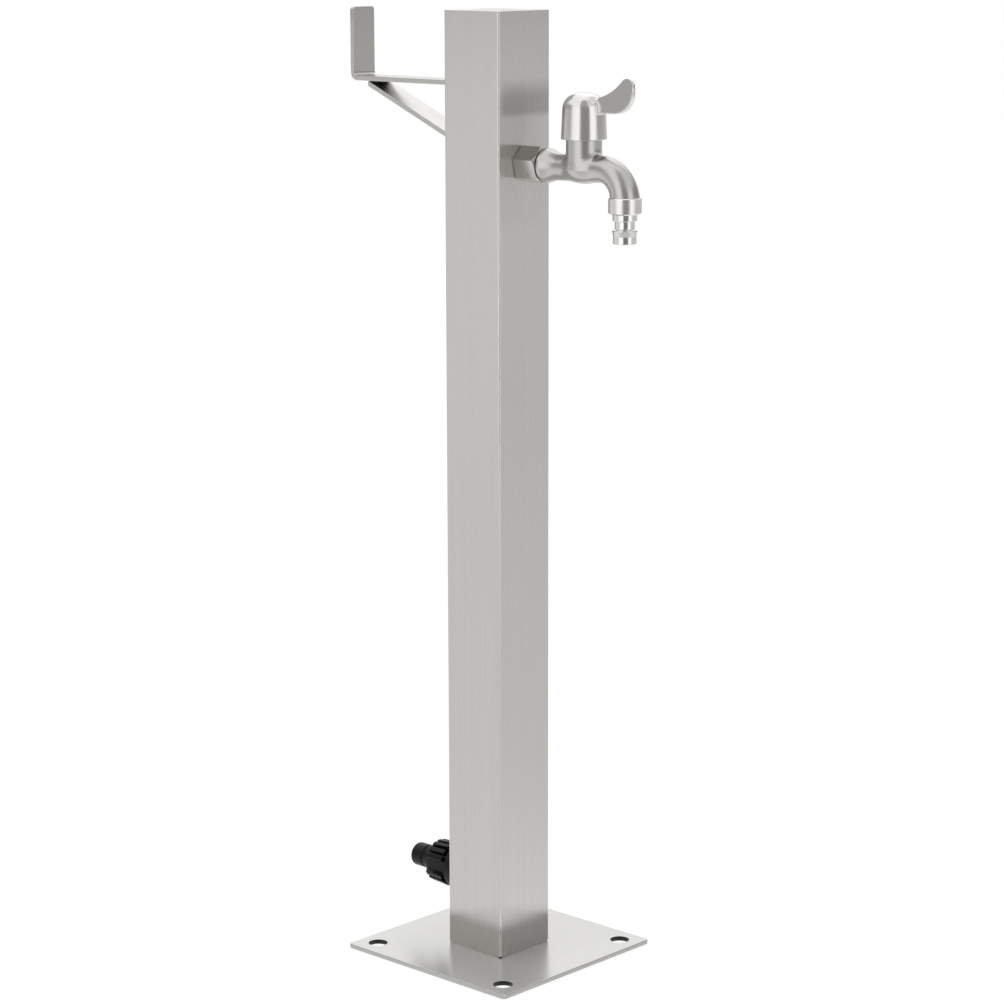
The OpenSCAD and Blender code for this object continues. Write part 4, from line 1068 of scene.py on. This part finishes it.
# The grip's barrel: a profile turned about X whose two sides are pressed flat, so that no ray of it
# reaches beyond panelAt across
def barrelShell():
    s = supply
    neck = s["front"] + s["neckLen"]
    profile = rounded([(s["shankR"], s["front"], 0.2), (s["neckR"], s["front"], 0.4),
                       (s["neckR"] + s["neckRise"], neck, 0.3), (s["coreR"], neck, 0.8),
                       (s["coreR"], s["boreStart"], 0), (s["threadR"], s["boreStart"], 0),
                       (s["threadR"], s["lipX"], 0), (s["shankR"], s["lipX"], 0)], steps=5)
    flat = math.acos(s["panelAt"] / s["coreR"])
    middle = np.array([math.pi / 2, 3 * math.pi / 2])
    hold = 0.02
    offs = [side * (flat + nudge) for side in (1, -1) for nudge in (0, hold, -hold)]
    marks = np.concatenate([middle + off for off in offs])
    angle = np.unique(np.concatenate((np.linspace(0, 2 * math.pi, 145)[:-1], marks)))
    reach = s["panelAt"] / np.maximum(np.abs(np.sin(angle)), 1e-6)
    radius = np.minimum(profile[:, :1] * np.ones(len(angle)), reach)
    return polarShell(profile[:, 1:] * np.ones(len(angle)), radius, angle, (0, 0, s["axisZ"]), "x", True)


# One rib at the given turn about X: a bar whose outer edge ramps up at its front end and then
# rises slowly to the rear
def ribShell(turn):
    s = supply
    e, low, ramp = s["ribEdge"], s["ribLow"], s["ribRamp"]
    t = np.linspace(0, math.pi / 2, 5)
    front, rear = s["front"] + s["neckLen"], s["ribRear"]
    x = np.concatenate((front + e * (1 - np.cos(t)), [front + ramp, front + ramp + 0.4, rear - e - 0.3],
                        rear - e + e * np.sin(t)))
    ease = np.concatenate((e * (1 - np.sin(t)), [0, 0, 0], e * (1 - np.cos(t))))
    high = np.interp(x, [front, front + ramp, rear], [s["ribFront"], s["gripR"] - s["ribRise"], s["gripR"]])
    a = math.radians(turn)
    up = np.array((0, -math.sin(a), math.cos(a)))
    side = np.array((0, math.cos(a), math.sin(a)))
    path = np.array((0, 0, s["axisZ"])) + ((low + high) / 2)[:, None] * up + x[:, None] * np.array((1, 0, 0))
    return barShell(path, side, up, s["ribW"] / 2 - ease, (high - low) / 2 - ease / 2, e)


# The connector's collar: barrel, rear ring with broken edges, and two fans of seven ribs
def makeConnectorCollar():
    s = supply
    low, back, grip, thread = s["back"] - s["ringT"], s["back"], s["gripR"], s["threadR"]
    ring = rounded([(thread, back, 0), (grip, back, 0.6), (grip, low + 1, 0.4), (grip - 1, low, 0.4),
                    (thread, low, 0)], steps=5)
    shells = [barrelShell(), turnedShell(ring, (0, 0, s["axisZ"]), "x")]
    shells += [ribShell(half + step * s["ribStep"]) for half in (0, 180) for step in range(-3, 4)]
    return makeMesh("plastic_connector_collar", shells)


# The connector's body: flange inside the collar, shank, sloping shoulder, groove and round nose
def makeConnectorBody():
    s = supply
    shank, cut = s["shankR"] - s["shankGap"], s["boreCut"]
    rows = [(s["bore"], s["flangeX"], 0), (s["flangeR"], s["flangeX"], 0.2),
            (s["flangeR"], s["flangeEnd"], 0.2), (shank, s["flangeEnd"], 0), (shank, s["shoulderX"], 0),
            (s["shoulderR"], s["shoulderX"], 0.3), (s["noseR"] + 0.1, s["shoulderEnd"], 0.2),
            (s["grooveR"], s["shoulderEnd"], 0),
            (s["grooveR"], s["noseX"], 0), (s["noseR"], s["noseX"], 0.3), (s["noseR"], s["tipX"], s["tipR"]),
            (s["bore"] + cut, s["tipX"], 0.3), (s["bore"], s["tipX"] + cut, 0.3)]
    return makeMesh("plastic_connector_body", [turnedShell(rounded(rows), (0, 0, s["axisZ"]), "x")])


finishPiece(makeConnectorCollar(), "inlet_collar", "connector_plastic", ["connector_collar"], sharpAt=38)
finishPiece(makeConnectorBody(), "standpipe", "connector_plastic", ["connector_body"])


# CAD nodes: each gets the material of its slot, and its mesh stays

for part in frame["record"]["subparts"]:
    node = frame["nodes"][part["node"]]
    node.data.materials.clear()
    node.data.materials.append(looks[part["material_slot"]])
print("CAD nodes dressed")


# Stage, light and camera

stage = dict(floorSize=6.0, floorDrop=0.02, floorWhite=0.9, floorGlow=1.05, floorShare=0.8, tentR=8.0,
             tentHue=(1.0, 0.995, 0.985), roomWhite=0.9)
lamp = dict(place=(-1.4, -2.6, 2.6), aim=(0, 0, 0.4), size=1.6, watts=22)
view = dict(focal=2910.9, photo=1004, sensor=36, away=2398.01, height=873.11, slide=3.417, tilt=11.345,
            roll=-0.1262, azimuth=43.159)


def emitter(name):
    material = bpy.data.materials.new(name)
    tree, out = freshTree(material, "ShaderNodeOutputMaterial")
    glow = tree.nodes.new("ShaderNodeEmission")
    tree.links.new(glow.outputs["Emission"], out.inputs["Surface"])
    return material, tree, glow, out


# 1 for rays from the camera, from a mirror or through glass, and 0 for the light on the object
def seenOrMirrored(tree):
    path = tree.nodes.new("ShaderNodeLightPath")
    mirrored = mathOf(tree, "MAXIMUM", path.outputs["Is Glossy Ray"], path.outputs["Is Transmission Ray"])
    return mathOf(tree, "MAXIMUM", path.outputs["Is Camera Ray"], mirrored)


# Shows the first shader where the share is 0 and the second where it is 1
def mixShaders(tree, share, first, second, out):
    both = tree.nodes.new("ShaderNodeMixShader")
    tree.links.new(share, both.inputs["Fac"])
    tree.links.new(first, both.inputs[1])
    tree.links.new(second, both.inputs[2])
    tree.links.new(both.outputs["Shader"], out.inputs["Surface"])


# White paper: the camera sees mostly plain white, and a share of the lit sheet with the shadow on it
def makeFloor():
    span = np.linspace(-stage["floorSize"], stage["floorSize"], 3) / mm
    x, y = np.meshgrid(span, span, indexing="ij")
    floor = makeMesh("studio_floor", [gridShell(np.dstack((x, y, 0 * x - stage["floorDrop"])))])
    if floor.data.polygons[0].normal.z < 0:
        floor.data.flip_normals()
    material, tree, glow, out = emitter("floorPaper")
    matte = tree.nodes.new("ShaderNodeBsdfDiffuse")
    matte.inputs["Color"].default_value = (*[stage["floorWhite"]] * 3, 1)
    glow.inputs["Strength"].default_value = stage["floorGlow"]
    share = timesOf(tree, seenOrMirrored(tree), stage["floorShare"])
    mixShaders(tree, share, matte.outputs["BSDF"], glow.outputs["Emission"], out)
    floor.data.materials.append(material)
    floor.visible_glossy = False


# Brightness round the compass, as (degrees right of the photographer, brightness): the dark gap in
# the tent where the photographer stands, a bright panel on each side of it, and softer side walls
tentRings = dict(
    low=[(-180, 1.05), (-135, 1.05), (-110, 1.1), (-75, 1.1), (-64, 0.95), (-30, 0.72), (34, 0.72),
         (60, 0.95), (75, 1.15), (110, 1.15), (135, 1.05), (180, 1.05)],
    sweep=[(-180, 1.05), (-135, 0.98), (-86, 0.98), (-64, 0.95), (-27, 0.62), (30, 0.62), (55, 0.85),
           (70, 0.86), (115, 0.86), (180, 1.05)],
    floor=[(-180, 1.05), (-166, 0.7), (-140, 0.7), (-110, 0.87), (-70, 0.87), (-60, 1.15), (-28, 1.2),
           (-22, 0.5), (22, 0.5), (28, 1.2), (52, 1.15), (66, 0.77), (120, 0.77), (172, 1.05),
           (180, 1.05)],
    spout=[(-180, 1.1), (-172, 1.1), (-166, 0.4), (-140, 0.4), (-130, 0.85), (-75, 0.85), (-64, 1.3),
           (-27, 1.5), (-22, 0.24), (21, 0.24), (26, 1.5), (52, 1.3), (66, 0.72), (120, 0.7),
           (150, 0.75), (172, 1.1), (180, 1.1)],
    level=[(-180, 1.1), (-172, 1.1), (-166, 0.4), (-136, 0.4), (-122, 0.86), (-108, 0.96), (-86, 0.83),
           (-75, 0.83), (-60, 1.05), (-50, 1.45), (-19, 1.5), (-14, 0.24), (30, 0.24), (35, 1.5),
           (60, 1.3), (73, 0.72), (120, 0.7), (150, 0.75), (172, 1.1), (180, 1.1)],
    high=[(-180, 1.05), (-172, 1.05), (-150, 0.6), (-130, 0.48), (-75, 0.48), (-64, 1.2), (-27, 1.4),
          (-20, 0.36), (24, 0.36), (30, 1.4), (56, 1.3), (70, 0.37), (120, 0.37), (150, 0.8),
          (172, 1.05), (180, 1.05)],
    upper=[(-180, 1.6), (-150, 1.3), (-100, 1.15), (-60, 1.2), (-27, 1.2), (-23, 0.5), (21, 0.5),
           (25, 1.2), (34, 0.85), (52, 0.85), (62, 1.1), (90, 0.9), (125, 0.9), (150, 1.5), (180, 1.6)],
    lid=[(-180, 1.3), (180, 1.3)])
# Height of a direction (sine of its elevation) at which one ring has given way to the next
tentSteps = dict(sweep=(-0.335, -0.26), floor=(-0.22, -0.13), spout=(-0.13, -0.115), level=(-0.09, -0.08),
                 high=(0.05, 0.095), upper=(0.42, 0.6), lid=(0.93, 0.98))


# Studio tent: a sphere round the set whose glow follows the compass direction and the height
def makeTent():
    turn = np.linspace(0, 2 * math.pi, 48, endpoint=False)
    rise = np.linspace(-math.pi / 2, math.pi / 2, 25)[:, None]
    wide = np.cos(rise)
    points = np.stack((wide * np.cos(turn), wide * np.sin(turn), np.sin(rise) + 0 * turn), axis=2)
    tent = makeMesh("studio_tent", [gridShell(points * stage["tentR"] / mm, loopV=True)])
    material, tree, glow, _ = emitter("tentCloth")
    where = tree.nodes.new("ShaderNodeTexCoord")
    compassTurn = tree.nodes.new("ShaderNodeVectorRotate")
    compassTurn.rotation_type = "Z_AXIS"
    compassTurn.inputs["Angle"].default_value = -math.radians(view["azimuth"])
    tree.links.new(where.outputs["Object"], compassTurn.inputs["Vector"])
    parts = tree.nodes.new("ShaderNodeSeparateXYZ")
    tree.links.new(compassTurn.outputs["Vector"], parts.inputs["Vector"])
    compass = mathOf(tree, "ARCTAN2", parts.outputs["X"], timesOf(tree, parts.outputs["Y"], -1.0))
    share = spread(tree, compass, 0, 1, -math.pi, math.pi)
    height = mathOf(tree, "DIVIDE", parts.outputs["Z"], stage["tentR"])
    hue = np.array(stage["tentHue"])
    rings = {name: rampOf(tree, share, [(0.5 + a / 360, v * hue) for a, v in stops])
             for name, stops in tentRings.items()}
    colour = rings["low"]
    for name, (start, stop) in tentSteps.items():
        mix = tree.nodes.new("ShaderNodeMixRGB")
        tree.links.new(spread(tree, height, 0, 1, start, stop), mix.inputs["Fac"])
        tree.links.new(colour, mix.inputs["Color1"])
        tree.links.new(rings[name], mix.inputs["Color2"])
        colour = mix.outputs["Color"]
    tree.links.new(colour, glow.inputs["Color"])
    material.cycles.emission_sampling = "NONE"
    tent.data.materials.append(material)
    tent.data.shade_smooth()
    tent.visible_camera = False
    tent.visible_shadow = False


# Room outside the tent: it lights a little dimmer than the plain white that the camera sees
def makeRoom():
    world = bpy.data.worlds.new("room")
    bpy.context.scene.world = world
    tree, out = freshTree(world, "ShaderNodeOutputWorld")
    dim = tree.nodes.new("ShaderNodeBackground")
    dim.inputs["Color"].default_value = (*[stage["roomWhite"]] * 3, 1)
    white = tree.nodes.new("ShaderNodeBackground")
    white.inputs["Color"].default_value = (1, 1, 1, 1)
    mixShaders(tree, seenOrMirrored(tree), dim.outputs["Background"], white.outputs["Background"], out)


def makeLamp():
    data = bpy.data.lights.new("keyLamp", "AREA")
    data.shape = "SQUARE"
    data.size = lamp["size"]
    data.energy = lamp["watts"]
    keyLamp = bpy.data.objects.new("keyLamp", data)
    bpy.context.scene.collection.objects.link(keyLamp)
    keyLamp.location = lamp["place"]
    keyLamp.rotation_mode = "QUATERNION"
    keyLamp.rotation_quaternion = (Vector(lamp["aim"]) - Vector(lamp["place"])).to_track_quat("-Z", "Y")
    keyLamp.visible_glossy = False


# The camera stands away from the axis at the azimuth and the height, looks down by the tilt, and is
# rolled about its line of sight
def makeCamera():
    azimuth, tilt, roll = (math.radians(view[key]) for key in ("azimuth", "tilt", "roll"))
    back = Vector((math.sin(azimuth), -math.cos(azimuth), 0))
    right = Vector((math.cos(azimuth), math.sin(azimuth), 0))
    place = (back * view["away"] + right * view["slide"] + Vector((0, 0, view["height"]))) * mm
    forward = -back * math.cos(tilt) - Vector((0, 0, math.sin(tilt)))
    up = right.cross(forward)
    side = right * math.cos(roll) + up * math.sin(roll)
    lift = up * math.cos(roll) - right * math.sin(roll)
    data = bpy.data.cameras.new("camera")
    data.sensor_width = view["sensor"]
    data.lens = view["focal"] / view["photo"] * view["sensor"]
    camera = bpy.data.objects.new("camera", data)
    bpy.context.scene.collection.objects.link(camera)
    rows = [(*row, at) for *row, at in zip(side, lift, -forward, place)]
    camera.matrix_world = Matrix(rows + [(0, 0, 0, 1)])
    bpy.context.scene.camera = camera


makeFloor()
makeRoom()
makeLamp()
makeCamera()
makeTent()
bpy.context.scene.view_settings.view_transform = "Standard"
print("stage, light and camera ready")
